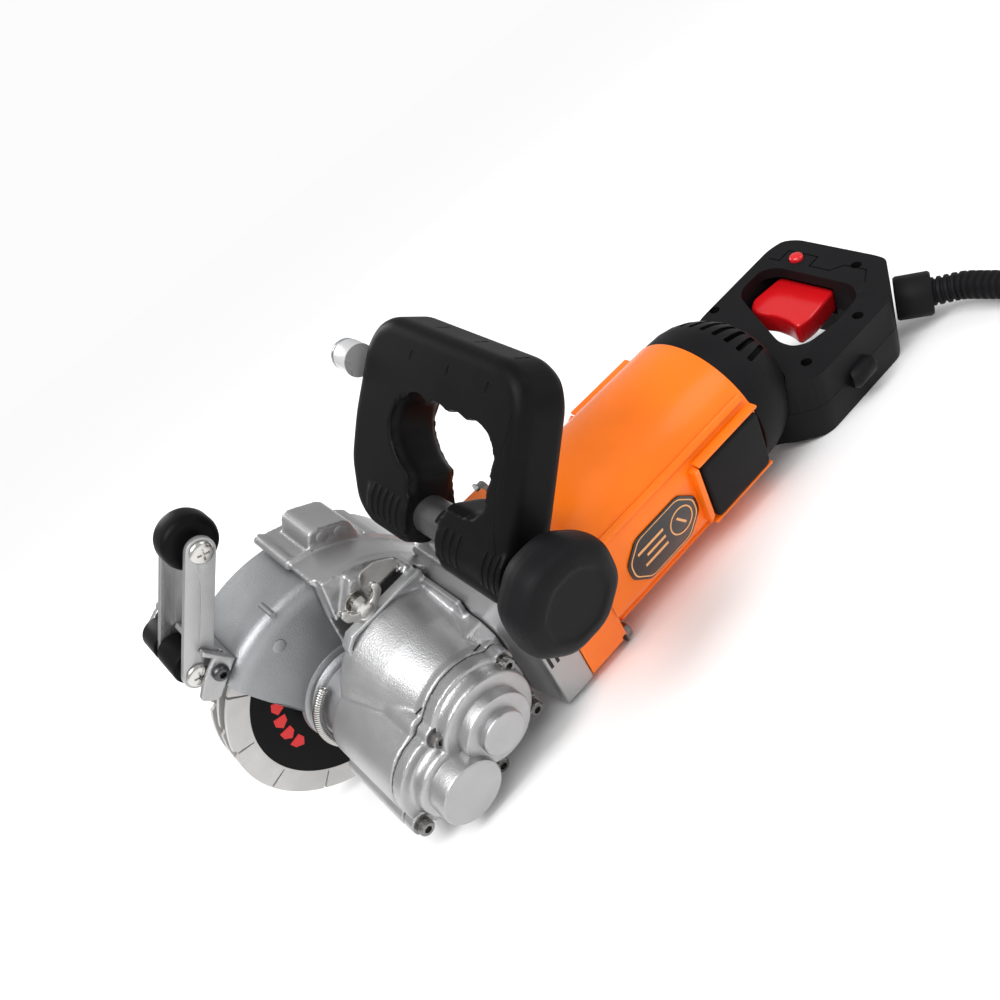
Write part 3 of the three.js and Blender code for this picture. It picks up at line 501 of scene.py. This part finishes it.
# Short near-black dashes where the case's parting gap runs: painted shade in the gap.
gap_shade_dashes = Build()
gap_shade_dashes.box(60.5, 66.5, 24.4, 25.0, 22.6, 23.4)
gap_shade_dashes.box(98, 103, 24.4, 25.0, 21.6, 22.2)
settle(gap_shade_dashes.object("parting_gap_painted_shade", SHADOW), "housing", "cast_aluminium")

cover = Build()
cover.rod("y", 28, 26.3, 33.4, *INTER, 128)
cover.rod("y", 26.5, 26.3, 33.4, *SPINDLE, 128)
for x, z in COVER_SCREWS:
    cover.rod("y", 5.6, 26.3, 34, x, z, 32)
cover.turned("y", [(26.5, 32), (25.9, 34), (25.5, 36), (25.5, 40.2), (24.6, 41.4), (20, 42)], *INTER, 128)
cover.turned("y", [(21.5, 32), (20.4, 34.6), (20, 36), (20, 39.5), (19, 40.8), (16.6, 41.4)], *SPINDLE, 128)
cover = cover.object("cover_casting", CAST)
cast(cover, 0.75, 4)
settle(shade(cover, 60), "housing", "cast_aluminium", "gear_case_cover")
caps = Build()
caps.turned("y", [(18.5, 40), (18.5, 47.2), (18.2, 47.9), (17.5, 48.3), (11.5, 48.5)], *INTER, 128)
caps.turned("y", [(11.5, 47), (11.5, 51.5), (11.2, 52.1), (10.6, 52.4), (0.1, 52.4)], *INTER, 96)
caps.turned("y", [(16.6, 38), (16.6, 51), (16.3, 51.9), (15.6, 52.4), (0.1, 52.4)], *SPINDLE, 128)
settle(shade(caps.object("bearing_caps", CAST), 25), "housing", "cast_aluminium")

# ---------- hood ----------
hood = Build()
outer = arc(HOOD_R, 101, 203, 90)
inner = arc(74.9, 203, 101, 90)
hood.prism("y", outer + inner, -98, -43)
near = outer + [(98.8, -42), (99.5, -12), (100.3, 18), (97.5, 40), (93.2, 58)]
hood.prism("y", near, -46, -42.6)
hood.prism("y", outer + [(96, -42), (96, -12), (93.5, 58)], -98, -95.4)
hood.prism("y", arc(77.2, 103, 166, 40) + [(51.4, 8), (51.4, 30), (58, 39), (76, 40), (96.5, 39.5)], -44, -36.6)
hood.prism("y", arc(75.4, 112, 166, 40) + [(51.4, 8), (51.4, 38), (58, 41), (76, 42), (94, 41)], -40, -31)
hood.prism("y", arc(77.2, 134, 166, 20) + [(51.4, 8), (51.4, 40), (60, 41)], -44, -26.5)
hood.sweep([(*polar(76.6, 102)[:1], y, polar(76.6, 102)[1]) for y in (-97.6, -80, -63.5)], 3.1, 24)
lug = [polar(74, 109.5), polar(86.5, 111), polar(88.3, 114), polar(88.3, 126), polar(76, 134)]
hood.prism("y", rounded(lug, 4, 5), -92, -64)
rail = arc(79.2, 101.5, 158, 50) + arc(76.5, 158, 101.5, 50)
hood.prism("y", rail, -64.5, -62.6)
hood.prism("y", arc(79.8, 134, 139, 5) + arc(76.5, 139, 134, 5), -97, -64)
hood = hood.object("hood_casting", CAST)
cast(hood, 0.9, 3)
carve(hood, [Build().rod("y", 24.6, -60, -20, *SPINDLE, 64).object("hub_room", CAST)])
settle(shade(hood, 60), "housing", "cast_aluminium", "fixed_hood")
dimples = Build()
for a in (116, 123):
    u, v = polar(82.6, a)
    dimples.turned("y", [(3.3, -64.2), (3.3, -63.85), (2.9, -63.7), (0.1, -63.75)], u, v, 32)
settle(shade(dimples.object("hood_bosses", CAST), 40), "housing", "cast_aluminium")

wing = Build()
WX, WZ = 84, 45
wing.turned("y", [(3.0, -42), (3.0, -27), (2.4, -26)], WX, WZ, 32)
for i in range(9):
    wing.ring("y", [(2.6, -30 + i * 0.8), (3.45, -29.6 + i * 0.8), (2.6, -29.2 + i * 0.8)], WX, WZ, 32)
wing.turned("y", [(7.2, -31.5), (7.3, -29.6), (7.1, -29.4), (0.1, -29.4)], WX, WZ, 40)
wing.turned("y", [(5.6, -26.6), (6.2, -25.8), (5.4, -22), (3.4, -20.6), (0.1, -20.4)], WX, WZ, 40)
for way in (1, -1):
    base = [(0, -1.6), (6, -2.2), (12.4, 1.4), (14.2, 5.4), (13.2, 8.6), (10.6, 8.2), (9.4, 4.6), (6, 2.6), (0, 2.4)]
    blade = [(WX + way * (x * 0.93 - z * 0.25), WZ + x * 0.16 + z * 0.95) for x, z in base]
    wing.prism("y", rounded(blade, 1.2, 3), -23.6, -21.0)
slip = Build().prism("y", rounded([(58, 42.5), (76, 43.5), (79, 50), (75, 57), (66, 56), (57, 49)], 2, 3), -31.4, -30.2)
settle(shade(slip.object("depth_plate", ZINC)), "housing", "cast_aluminium")
wing = wing.object("wing_nut", ZINC)
bevel(wing, 0.35, 2, 50)
settle(shade(wing, 40), "wing", "zinc_steel", "wing_screw")


# ---------- moving guard ----------
def edge_angle(r):
    steps = [(19.4, -8), (24, 12), (28.3, 28), (40, 40), (60.2, 49.4), (72.5, 53)]
    for (r0, a0), (r1, a1) in zip(steps, steps[1:]):
        if r <= r1:
            return a0 + (a1 - a0) * max(0, r - r0) / (r1 - r0)
    return steps[-1][1]


guard = Build()
section = [(72.5, -93), (72.5, -56), (72.1, -53.4), (70.9, -51), (68.8, -49.2), (66, -48.2), (62, -48), (50, -48),
    (40, -48), (32, -48), (26, -48), (22, -48)]
section += [(22, -50.4), (26, -50.4), (32, -50.4), (40, -50.4), (50, -50.4), (62, -50.4), (66, -50.6), (68, -51.6),
    (69.4, -53.2), (70.0, -56), (70.0, -93)]
loops = []
for i in range(61):
    t = i / 60
    loop = []
    for r, y in section:
        x, z = polar(r, edge_angle(r) + (126 - edge_angle(r)) * t)
        loop.append((x, y, z))
    loops.append(loop)
guard.loft(loops)
far_wall = [polar(r, edge_angle(r)) for r in (34, 50, 60, 71)] + arc(71.5, 54, 126, 40) + [polar(34, 126)]
guard.prism("y", far_wall, -93, -90.6)
guard.ring("y", [(19.5, -50.4), (30, -50.4), (29.4, -47.6), (28, -46.6), (26, -46.4), (24.8, -44.5), (23.6, -43.4),
    (22.4, -43), (22, -36), (21.5, -29.4), (19.5, -29.4)], *SPINDLE, 96)
guard = guard.object("guard_shell", CAST_DARK)
settle(shade(guard, 38), "guard", "guard_aluminium", "moving_guard")
pin = Build().turned("y", [(3.6, -48.3), (3.6, -47.6), (3.1, -47.35), (0.1, -47.3)], 123, 44, 32)
pin.turned("y", [(1.4, -60), (1.4, -47.85)], 116, 60.4, 16)
settle(shade(pin.object("guard_rivet", CAST_DARK), 40), "guard", "guard_aluminium")
windings, count = [], 46
for i in range(count * 12 + 1):
    a = math.radians(-62 + 124 * i / (count * 12))
    w = 2 * math.pi * i / 12
    r = 27.0 + 2.1 * math.cos(w)
    windings.append((SPINDLE[0] + r * math.cos(a), -39.4 + 2.1 * math.sin(w), SPINDLE[1] + r * math.sin(a)))
spring = Build().sweep(windings, 0.62, 6)
settle(shade(spring.object("spring_coil", ZINC), 60), "housing", "zinc_steel", "guard_spring")


# ---------- roller frame ----------
def pan_screw(name, u, v, far, body):
    stem = Build().rod("y", 2.9, far, -56.8, u, v, 32).object(name + "_stem", ZINC)
    top = Build().turned("y", [(5.7, -57.3), (5.75, -56.6), (5.2, -55.7), (4.1, -55.1), (2.4, -54.8), (0.1, -54.7)],
        u, v, 56)
    top = top.object(name + "_head", ZINC)
    cross = []
    for spin in (20, 110):
        c, s = math.cos(math.radians(spin)), math.sin(math.radians(spin))
        quad = [(u + c * a - s * b, v + s * a + c * b) for a, b in ((-3, -0.55), (3, -0.55), (3, 0.55), (-3, 0.55))]
        cross.append(Build().prism("y", quad, -56.2, -53).object("cross", ZINC))
    carve(top, cross)
    settle(shade(top, 35), body, "zinc_steel", name)
    settle(shade(stem, 35), body, "zinc_steel")


pan_screw("upper_axle", *ARM_TOP, -91, "roller_frame")
pan_screw("lower_axle", *PIVOT, -110, "guard")
way = math.degrees(math.atan2(ARM_TOP[1] - PIVOT[1], ARM_TOP[0] - PIVOT[0]))


def arm_outline(r):
    return circle(r, 24, *ARM_TOP, way - 90, way + 90) + circle(r, 24, *PIVOT, way + 90, way + 270)


for name, y0, y1, groove in (("roller_arm_near", -60.5, -57.5, -57.9), ("roller_arm_far", -88, -85, -85.4)):
    arm = Build().prism("y", arm_outline(ARM_WIDTH_R), y0, y1).object(name + "_plate", CAST)
    c, s = math.cos(math.radians(way)), math.sin(math.radians(way))
    quad = []
    for a, b in ((14, -0.35), (48, -0.35), (48, 0.35), (14, 0.35)):
        quad.append((PIVOT[0] + c * a - s * b, PIVOT[1] + s * a + c * b))
    carve(arm, [
        Build().prism("y", quad, groove, y1 + 2).object("groove", CAST),
        Build().rod("y", 5.3 if "far" in name else 3.2, -120, -40, *PIVOT, 32).object("eye", CAST),
        Build().rod("y", 3.2, -120, -40, *ARM_TOP, 32).object("eye", CAST),
    ])
    bevel(arm, 0.7, 3, 50)
    settle(shade(arm, 40), "roller_frame", "cast_aluminium", name)
wheel = Build().ring("y", [
    (3.3, -81), (9.5, -81), (11.8, -80.5), (13.2, -79.2), (13.8, -77), (13.8, -70), (13.2, -67.8), (11.8,
        -66.5), (9.5, -66), (3.3, -66),
], *ARM_TOP, 96)
settle(shade(wheel.object("roller_wheel", ROLLER), 40), "upper_wheel", "roller_rubber", "upper_roller")
drum = Build().ring("y", [
    (3.2, -104), (7.8, -104), (8.5, -103.6), (8.7, -103), (8.7, -88.9), (8.2, -88.4), (5, -88.3), (5, -84.7), (8.2,
        -84.6), (8.7, -84.1),
    (8.7, -65.8), (8.4, -65.1), (7.8, -64.8), (3.2, -64.8),
], *PIVOT, 80)
settle(shade(drum.object("roller_drum", ROLLER), 40), "lower_wheel", "roller_rubber", "lower_roller")
bar = Build()
c, s = math.cos(math.radians(62)), math.sin(math.radians(62))


def bar_quad(r0, r1, t0=0.0, t1=2.5):
    return [(SPINDLE[0] + c * r - s * t, SPINDLE[1] + s * r + c * t) for r, t in ((r0, t0), (r1, t0), (r1, t1), (r0,
        t1))]


bar.prism("y", bar_quad(72.9, 76.6), -108, -52.2)
for y0, y1 in ((-56.6, -52.2), (-84.2, -61.2), (-108, -88.8)):
    bar.prism("y", bar_quad(74, 90), y0, y1)
ear = [polar(74, 50), polar(86, 49), polar(90.5, 54), polar(89.5, 62.5), polar(74, 62.5)]
bar.prism("y", rounded(ear, 3, 4), -64.5, -61)
bar.prism("y", rounded(ear, 3, 4), -108, -104.5)
tab = [polar(73.2, 47), polar(83, 47), polar(84, 54), polar(84, 62.5), polar(73.2, 63)]
bar.prism("y", rounded(tab, 2.5, 4), -54.6, -51.9)
bar = bar.object("guard_bracket", CAST)
cast(bar, 0.5, 2)
carve(bar, [Build().rod("y", 3.2, -130, -56, *PIVOT, 32).object("eye", CAST)])
settle(shade(bar, 60), "guard", "cast_aluminium", "guard_bar")
BX, BZ = 150, 54.4
bolt = Build().turned("y", [(4.1, -51.9), (4.15, -50.4), (3.7, -49.1), (2.6, -48.3), (1.6, -48.1), (0.1, -48.1)], BX,
    BZ, 48)
bolt = bolt.object("bracket_bolt", DARK)
carve(bolt, [Build().rod("y", 1.9, -50.4, -46, BX, BZ, 6).object("hex", DARK)])
settle(shade(bolt, 35), "guard", "dark_steel", "bar_bolt")

# ---------- blades and spindle ----------
for k in range(3):
    y = FIRST_BLADE_Y - BLADE_PITCH * k
    rim = Build().ring("y", [
        (CORE_R, y - 1.1), (BLADE_R - 0.3, y - 1.1), (BLADE_R, y - 0.8),
        (BLADE_R, y + 0.8), (BLADE_R - 0.3, y + 1.1), (CORE_R, y + 1.1),
    ], *SPINDLE, 144)
    rim = rim.object("blade_rim_%d" % (k + 1), RIM)
    cuts = []
    for i in range(12):
        a = math.radians(i * 30 + 14 + k * 9)
        ca, sa = math.cos(a), math.sin(a)
        quad = [(SPINDLE[0] + ca * r - sa * t, SPINDLE[1] + sa * r + ca * t) for r, t in ((55.5, -0.35), (70, -0.9),
            (70, 0.9), (55.5, 0.35))]
        cuts.append(Build().prism("y", quad, y - 3, y + 3).object("slit", RIM))
        if i % 3 == 0:
            u, v = polar(67.5, i * 30 + 14 + k * 9)
            cuts.append(Build().rod("y", 3.0, y - 3, y + 3, u, v, 20).object("gullet", RIM))
    carve(rim, cuts)
    settle(shade(rim, 35), "spindle_group", "blade_steel", "blade_%d" % (k + 1))
    core = Build().ring("y", [(10, y - 0.95), (CORE_R, y - 0.95), (CORE_R, y + 0.95), (10, y + 0.95)], *SPINDLE, 128)
    settle(shade(core.object("blade_core_%d" % (k + 1), DISC), 35), "spindle_group", "blade_steel")
arrows = Build()
for i in range(4):
    a = math.radians(28.4 - 13.6 * i)
    ca, sa = math.cos(a), math.sin(a)
    house = [(3.3, 3.6), (3.3, -0.8), (0, -4.2), (-3.3, -0.8), (-3.3, 3.6)]
    quad = [(SPINDLE[0] + ca * (39.6 + r) - sa * t, SPINDLE[1] + sa * (39.6 + r) + ca * t) for r, t in house]
    arrows.prism("y", quad, -57.8, -57.62)
settle(arrows.object("blade_arrows", ARROW), "spindle_group", "blade_steel")


# ---------- front handle ----------
def shrink(points, d):
    """The outline moved inwards by d."""
    area = sum(a[0] * b[1] - b[0] * a[1] for a, b in zip(points, points[1:] + points[:1]))
    way = 1 if area > 0 else -1
    out = []
    for i, p in enumerate(points):
        p = Vector(p)
        e = (p - Vector(points[i - 1])).normalized()
        f = (Vector(points[(i + 1) % len(points)]) - p).normalized()
        n = Vector((-e.y - f.y, e.x + f.x)).normalized()
        k = max(0.6, n.dot(Vector((-f.y, f.x))))
        out.append(tuple(p + n * (way * d / k)))
    return out


def pillow(axis, points, a, b, r, steps=6):
    """A slab between a and b whose outer edges are rounded to radius r."""
    shape = Build()
    loops = []
    for i in range(steps + 1):
        w = math.radians(90 * i / steps)
        loops.append((a + r * (1 - math.sin(w)), r * (1 - math.cos(w))))
    stations = loops[::-1] + [(a + b - t, d) for t, d in loops]
    shape.loft([[place(axis, u, v, t) for u, v in shrink(points, d)] for t, d in stations])
    return shape


LOOP = rounded([
    (-46, -15), (-58, -8), (-67, 12), (-67, 36), (-62, 70), (-55, 81), (-44, 87), (38, 87), (49, 82), (54, 71),
    (56, 20), (56, -15), (9.5, -15), (9.5, 17), (30, 18), (36, 24), (38, 48), (33, 55), (-22, 54), (-31, 48),
    (-33, 36), (-24, 25), (-13.5, 21), (-13.5, -15),
], 6, 5)
grip = pillow("x", LOOP, -13.5, 13.5, 6.5)
grip.rod("y", 15.2, -45.5, -14.2, 0, 0, 64)
grip.rod("y", 15.2, 10.2, 55.5, 0, 0, 64)
grip = grip.object("handle_body", GRIP, SWIVEL)
cast(grip, 1.0, 6)
cuts = [Build().rod("y", 9.8, -50, 60, 0, 0, 48).object("bore", GRIP, SWIVEL)]
for y in (-15, -1, 13, 26):
    cuts.append(Build().turned("x", [(14, -30), (11.4, -9), (11, 0), (11.4, 9), (14, 30)], y, 47, 48).object("finger",
        GRIP, SWIVEL))
for k in range(3):
    line = []
    for i in range(13):
        w = -90 + 15 * i
        line.append((13.9 * math.sin(math.radians(w)), -24 + 27 * k + 5 * math.cos(math.radians(w)),
            71 + 16.2 * math.cos(math.radians(w))))
    cuts.append(Build().sweep(line, 0.55, 8).object("seam", GRIP, SWIVEL))
for h, k in ((44, 0), (47.5, 1)):
    line = [(13.6, h + 4 - 0.1 * k, 68), (13.9, h + 1.5, 50), (13.9, h + 1, 34), (13.8, h + 3, 18), (13.5, h + 6, 8)]
    cuts.append(Build().sweep(line, 0.5, 8).object("seam", GRIP, SWIVEL))
carve(grip, cuts)
settle(shade(grip, 45), "swivel_handle", "soft_black", "front_handle")
ribs = Build()
for y in (-41, -36, -31, -26, -21, 16, 21, 26, 44, 48, 52):
    ribs.turned("y", [(15.0, y - 1.3), (15.75, y - 0.8), (15.75, y + 0.8), (15.0, y + 1.3)], 0, 0, 64)
ribs = ribs.object("barrel_ribs", GRIP, SWIVEL)
carve(ribs, [Build().rod("y", 13, -60, 70, 0, 0, 48).object("bore", GRIP, SWIVEL)])
settle(shade(ribs, 45), "swivel_handle", "soft_black")
lamp = Build().turned("y", [(8.4, -67.2), (8.4, -76.4), (8.0, -78), (7.0, -78.3), (6.6, -73), (0.1, -71)], 11, 60, 64)
settle(shade(lamp.object("lamp_bezel", CHROME, SWIVEL), 35), "swivel_handle", "soft_black", "lamp_body")
glass = Build().turned("y", [(8.1, -78.4), (8.1, -79.6), (7.4, -81.4), (5.8, -83), (3.4, -84.1),
    (0.1, -84.4)], 11, 60, 64)
for k, r in enumerate((2.2, 4.0, 5.8)):
    glass.ring("y", [(r, -78.9), (r + 0.9, -78.9), (r + 0.45, -78.45)], 11, 60, 48)
settle(shade(glass.object("lamp_glass", LENS, SWIVEL), 35), "swivel_handle", "lens", "lamp_lens")

TUBE_STEEL = material("tube_steel", (0.16, 0.16, 0.165), 0.34, 0.85, 900, 0.12, 0.08, 0.0, 0.12)
tube = Build().turned("y", [(9.0, -48), (9.5, -47.5), (9.5, 57), (9.0, 57.5)], *TUBE, 96).object("clamp_tube",
    TUBE_STEEL)
carve(tube, [Build().box(33, 40, 1.5, 4.5, 75, 82).object("notch", TUBE_STEEL)])
settle(shade(tube, 35), "housing", "dark_steel", "handle_tube")
knob = Build().turned("y", [
    (12, 59.5), (16, 59.8), (20, 62), (24, 66), (26.2, 70.5), (27.1, 75), (27.1, 79), (26.4, 82.4), (24.8, 84.9), (22,
        86.6),
    (18.6, 87.3), (16.8, 87.3), (16.2, 86.6), (10, 86.4), (0.1, 86.4),
], *TUBE, 128, 8, 0.03)
knob = knob.object("knob_grip", BLACK)
cast(knob, 0.8, 4)
settle(shade(knob, 50), "knob", "black_plastic", "handle_knob")
stud = Build().turned("y", [(6, 40.5), (6, 69.5)], *TUBE, 40)
stud.turned("y", [(9, 57.8), (11.5, 58), (12, 59), (12, 66), (10, 66.6)], *TUBE, 64)
settle(shade(stud.object("knob_neck", BLACK), 40), "knob", "black_plastic")

# ---------- lead ----------
def smooth(points, n):
    """A spline through the points, n steps between each two."""
    pts = [Vector(p) for p in points]
    pts = [pts[0] * 2 - pts[1]] + pts + [pts[-1] * 2 - pts[-2]]
    out = []
    for i in range(1, len(pts) - 2):
        a, b, c, d = pts[i - 1], pts[i], pts[i + 1], pts[i + 2]
        for k in range(n):
            t = k / n
            square, cube = a * 2 - b * 5 + c * 4 - d, b * 3 - a - c * 3 + d
            out.append(((b * 2) + (c - a) * t + square * t * t + cube * t ** 3) * 0.5)
    return out + [pts[-2]]


SLEEVE = [(-257.8, 31.9, -21), (-264.5, 41, -20.8), (-271, 52, -19.5), (-276.5, 64, -17), (-277, 78, -13.5),
    (-276.5, 92, -9.6), (-275.5, 106, -4.6)]
line = smooth(SLEEVE, 16)
radii = [(7.1 if i % 5 in (0, 1) else 8.4) - 0.7 * i / len(line) for i in range(len(line))]
boot = Build().sweep(line, radii, 40)
boot.sweep([(-257.8, 31.9, -21), (-258.6, 33, -21), (-268.7, 47.4, -21), (-269.5, 48.5, -21)],
    [12, 12.9, 12.9, 11.8], 10)
settle(shade(boot.object("sleeve_ribs", RUBBER), 40), "housing", "black_rubber", "cord_sleeve")

exit_at = (TOOL @ Vector(SLEEVE[-1])) * 1000
before = (TOOL @ Vector(SLEEVE[-2])) * 1000
heading = exit_at - before
heading.z = 0
heading.normalize()
LOW, HIGH, STEP = 5.1, 14.65, 9.8
middle = Vector((exit_at.x + 45, exit_at.y + 132, 0))
meet = middle + Vector((-71.6, 0, LOW))


def raised(v, z):
    return Vector((v.x, v.y, z))


route = smooth([
    exit_at, raised(exit_at + heading * 18, LOW + 1.6), raised(exit_at + heading * 40, LOW),
    meet + Vector((1, -46, 0)), meet + Vector((0, -18, 0)), meet,
], 12)


def ease(t):
    t = max(0.0, min(1.0, t))
    return t * t * (3 - 2 * t)


INNER, RISE, OUTER = 1344, 180, 1026
for i in range(1, (INNER + RISE + OUTER) // 5 + 1):
    a = 5 * i
    if a <= INNER:
        r, z = 71.6 - STEP * a / 360, LOW
    elif a <= INNER + RISE:
        t = ease((a - INNER) / RISE)
        r, z = 35.0 - 3 * t, LOW + (HIGH - LOW) * t
    else:
        over = a - INNER - RISE
        r, z = 32 + 3 * ease(over / 180) + STEP * over / 360, HIGH
    w = math.radians(a)
    route.append(middle + Vector((-r * math.cos(w), r * math.sin(w), z)))
plug_end = middle + Vector((2, 85.5, 18.6))
bend = 43.0
turn_mid = Vector((plug_end.x, plug_end.y - bend, 0))
for w in range(30, 91, 6):
    wr = math.radians(w)
    p = turn_mid + Vector((-bend * math.cos(wr), bend * math.sin(wr), 0))
    along = (w - 30) / 60
    route.append(Vector((p.x, p.y, HIGH + 2.2 + (plug_end.z - HIGH - 2.2) * ease(along))))
curve = bpy.data.curves.new("lead_curve", "CURVE")
curve.dimensions = "3D"
curve.bevel_depth = LEAD_R / 1000
curve.bevel_resolution = 6
curve.use_fill_caps = True
spline = curve.splines.new("POLY")
spline.points.add(len(route) - 1)
for point, p in zip(spline.points, route):
    point.co = (*(p * 0.001), 1)
spline.use_smooth = True
curve.materials.append(RUBBER)
lead = bpy.data.objects.new("lead", curve)
bpy.context.scene.collection.objects.link(lead)

PLUG = Matrix.Translation(plug_end * 0.001) @ Matrix.Scale(0.001, 4)
plug = Build()
relief = [(6.3 + 0.15 * k + (0.7 if k % 2 else -0.3), 1.5 + 1.6 * k) for k in range(8)]
plug.turned("x", [(5.1, 0), (5.8, 0.4)] + relief + [(9, 16.5), (13, 19), (17.0, 21.6), (18.0, 25), (18.35, 30),
    (18.35, 51), (17.8, 53.2), (16.4, 54), (0.1, 54)], 0, 0, 64)
plug = plug.object("plug_shell", BLACK, PLUG)
carve(plug, [Build().box(25, 49, low, low + 5.4, -7, 7).object("grip", BLACK, PLUG) for low in (16.6, -22)])
settle(shade(plug, 32), "housing", "black_plastic", "plug")
pins = Build()
for y in (-9.5, 9.5):
    pins.turned("x", [(2.4, 53), (2.4, 71.6), (2.0, 72.6), (1.2, 73), (0.1, 73)], y, 0, 32)
settle(shade(pins.object("plug_pins", ZINC, PLUG), 32), "housing", "zinc_steel")
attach(lead, "housing")
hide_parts("cord", "cord_coil")

# ---------- inside parts carried over ----------
INSIDE = {
    "switch_body": BLACK, "stator": DARK, "rotor_core": DARK, "commutator": COPPER, "brush_holder_near": COPPER,
    "brush_holder_far": COPPER, "fan": BLACK, "armature_shaft": ZINC, "bevel_wheel": DARK, "intermediate_shaft": ZINC,
    "spur_wheel": DARK, "spindle": ZINC, "spacer_1": DARK, "spacer_2": DARK, "flange_nut": ZINC,
}
for name, finish in INSIDE.items():
    NODES[name].data.materials.clear()
    NODES[name].data.materials.append(finish)

# ---------- camera ----------
right = Vector((-0.67796, 0.64121, -0.35947))
down = Vector((0.66467, 0.32584, -0.67234))
ahead = Vector((-0.31399, -0.69475, -0.64710))
lens = bpy.data.cameras.new("view")
lens.sensor_width = 36
lens.lens = 36.167
lens.shift_x, lens.shift_y = -0.0218, -0.0304
lens.clip_start, lens.clip_end = 0.01, 60
camera = bpy.data.objects.new("view", lens)
bpy.context.scene.collection.objects.link(camera)
turn = ROT.to_3x3()
basis = Matrix((turn @ right, -(turn @ down), -(turn @ ahead))).transposed()
camera.matrix_world = Matrix.Translation(TOOL @ Vector((139.107, 331.347, 368.827))) @ basis.to_4x4()
bpy.context.scene.camera = camera

# ---------- floor and light ----------
floor_mesh = bpy.data.meshes.new("floor")
floor_mesh.from_pydata([(-30, -30, 0), (30, -30, 0), (30, 30, 0), (-30, 30, 0)], [], [(0, 1, 2, 3)])
floor = bpy.data.objects.new("floor", floor_mesh)
bpy.context.scene.collection.objects.link(floor)
floor_mesh.materials.append(material("floor_white", (0.95, 0.95, 0.95), 0.9, Specular_IOR_Level=0.0))
world = bpy.data.worlds.new("studio")
world.use_nodes = True
sky = world.node_tree
sky.nodes["Background"].inputs["Strength"].default_value = 0.5
white = sky.nodes.new("ShaderNodeBackground")
white.inputs["Strength"].default_value = 0.97
for back in (sky.nodes["Background"], white):
    back.inputs["Color"].default_value = (1, 1, 1, 1)
path = sky.nodes.new("ShaderNodeLightPath")
blend = sky.nodes.new("ShaderNodeMixShader")
sky.links.new(path.outputs["Is Camera Ray"], blend.inputs["Fac"])
sky.links.new(sky.nodes["Background"].outputs["Background"], blend.inputs[1])
sky.links.new(white.outputs["Background"], blend.inputs[2])
sky.links.new(blend.outputs["Shader"], sky.nodes["World Output"].inputs["Surface"])
bpy.context.scene.world = world
bpy.context.scene.view_settings.view_transform = "Standard"
sun = bpy.data.lights.new("sun", "SUN")
sun.energy = 2.0
sun.angle = math.radians(50)
sun_at = bpy.data.objects.new("sun", sun)
sun_at.rotation_euler = Euler((math.radians(-28), math.radians(24), 0))
bpy.context.scene.collection.objects.link(sun_at)


def soft_light(name, at, power, size):
    data = bpy.data.lights.new(name, "AREA")
    data.energy = power
    data.shape = "DISK"
    data.size = size
    obj = bpy.data.objects.new(name, data)
    obj.location = at
    obj.rotation_euler = (Vector((-0.02, 0, 0.06)) - Vector(at)).to_track_quat("-Z", "Y").to_euler()
    bpy.context.scene.collection.objects.link(obj)


soft_light("key", (0.9, 0.5, 1.2), 7, 0.5)
soft_light("side", (-1.1, 0.9, 0.8), 2.5, 0.7)
soft_light("back", (0.2, -1.2, 0.9), 5, 0.6)
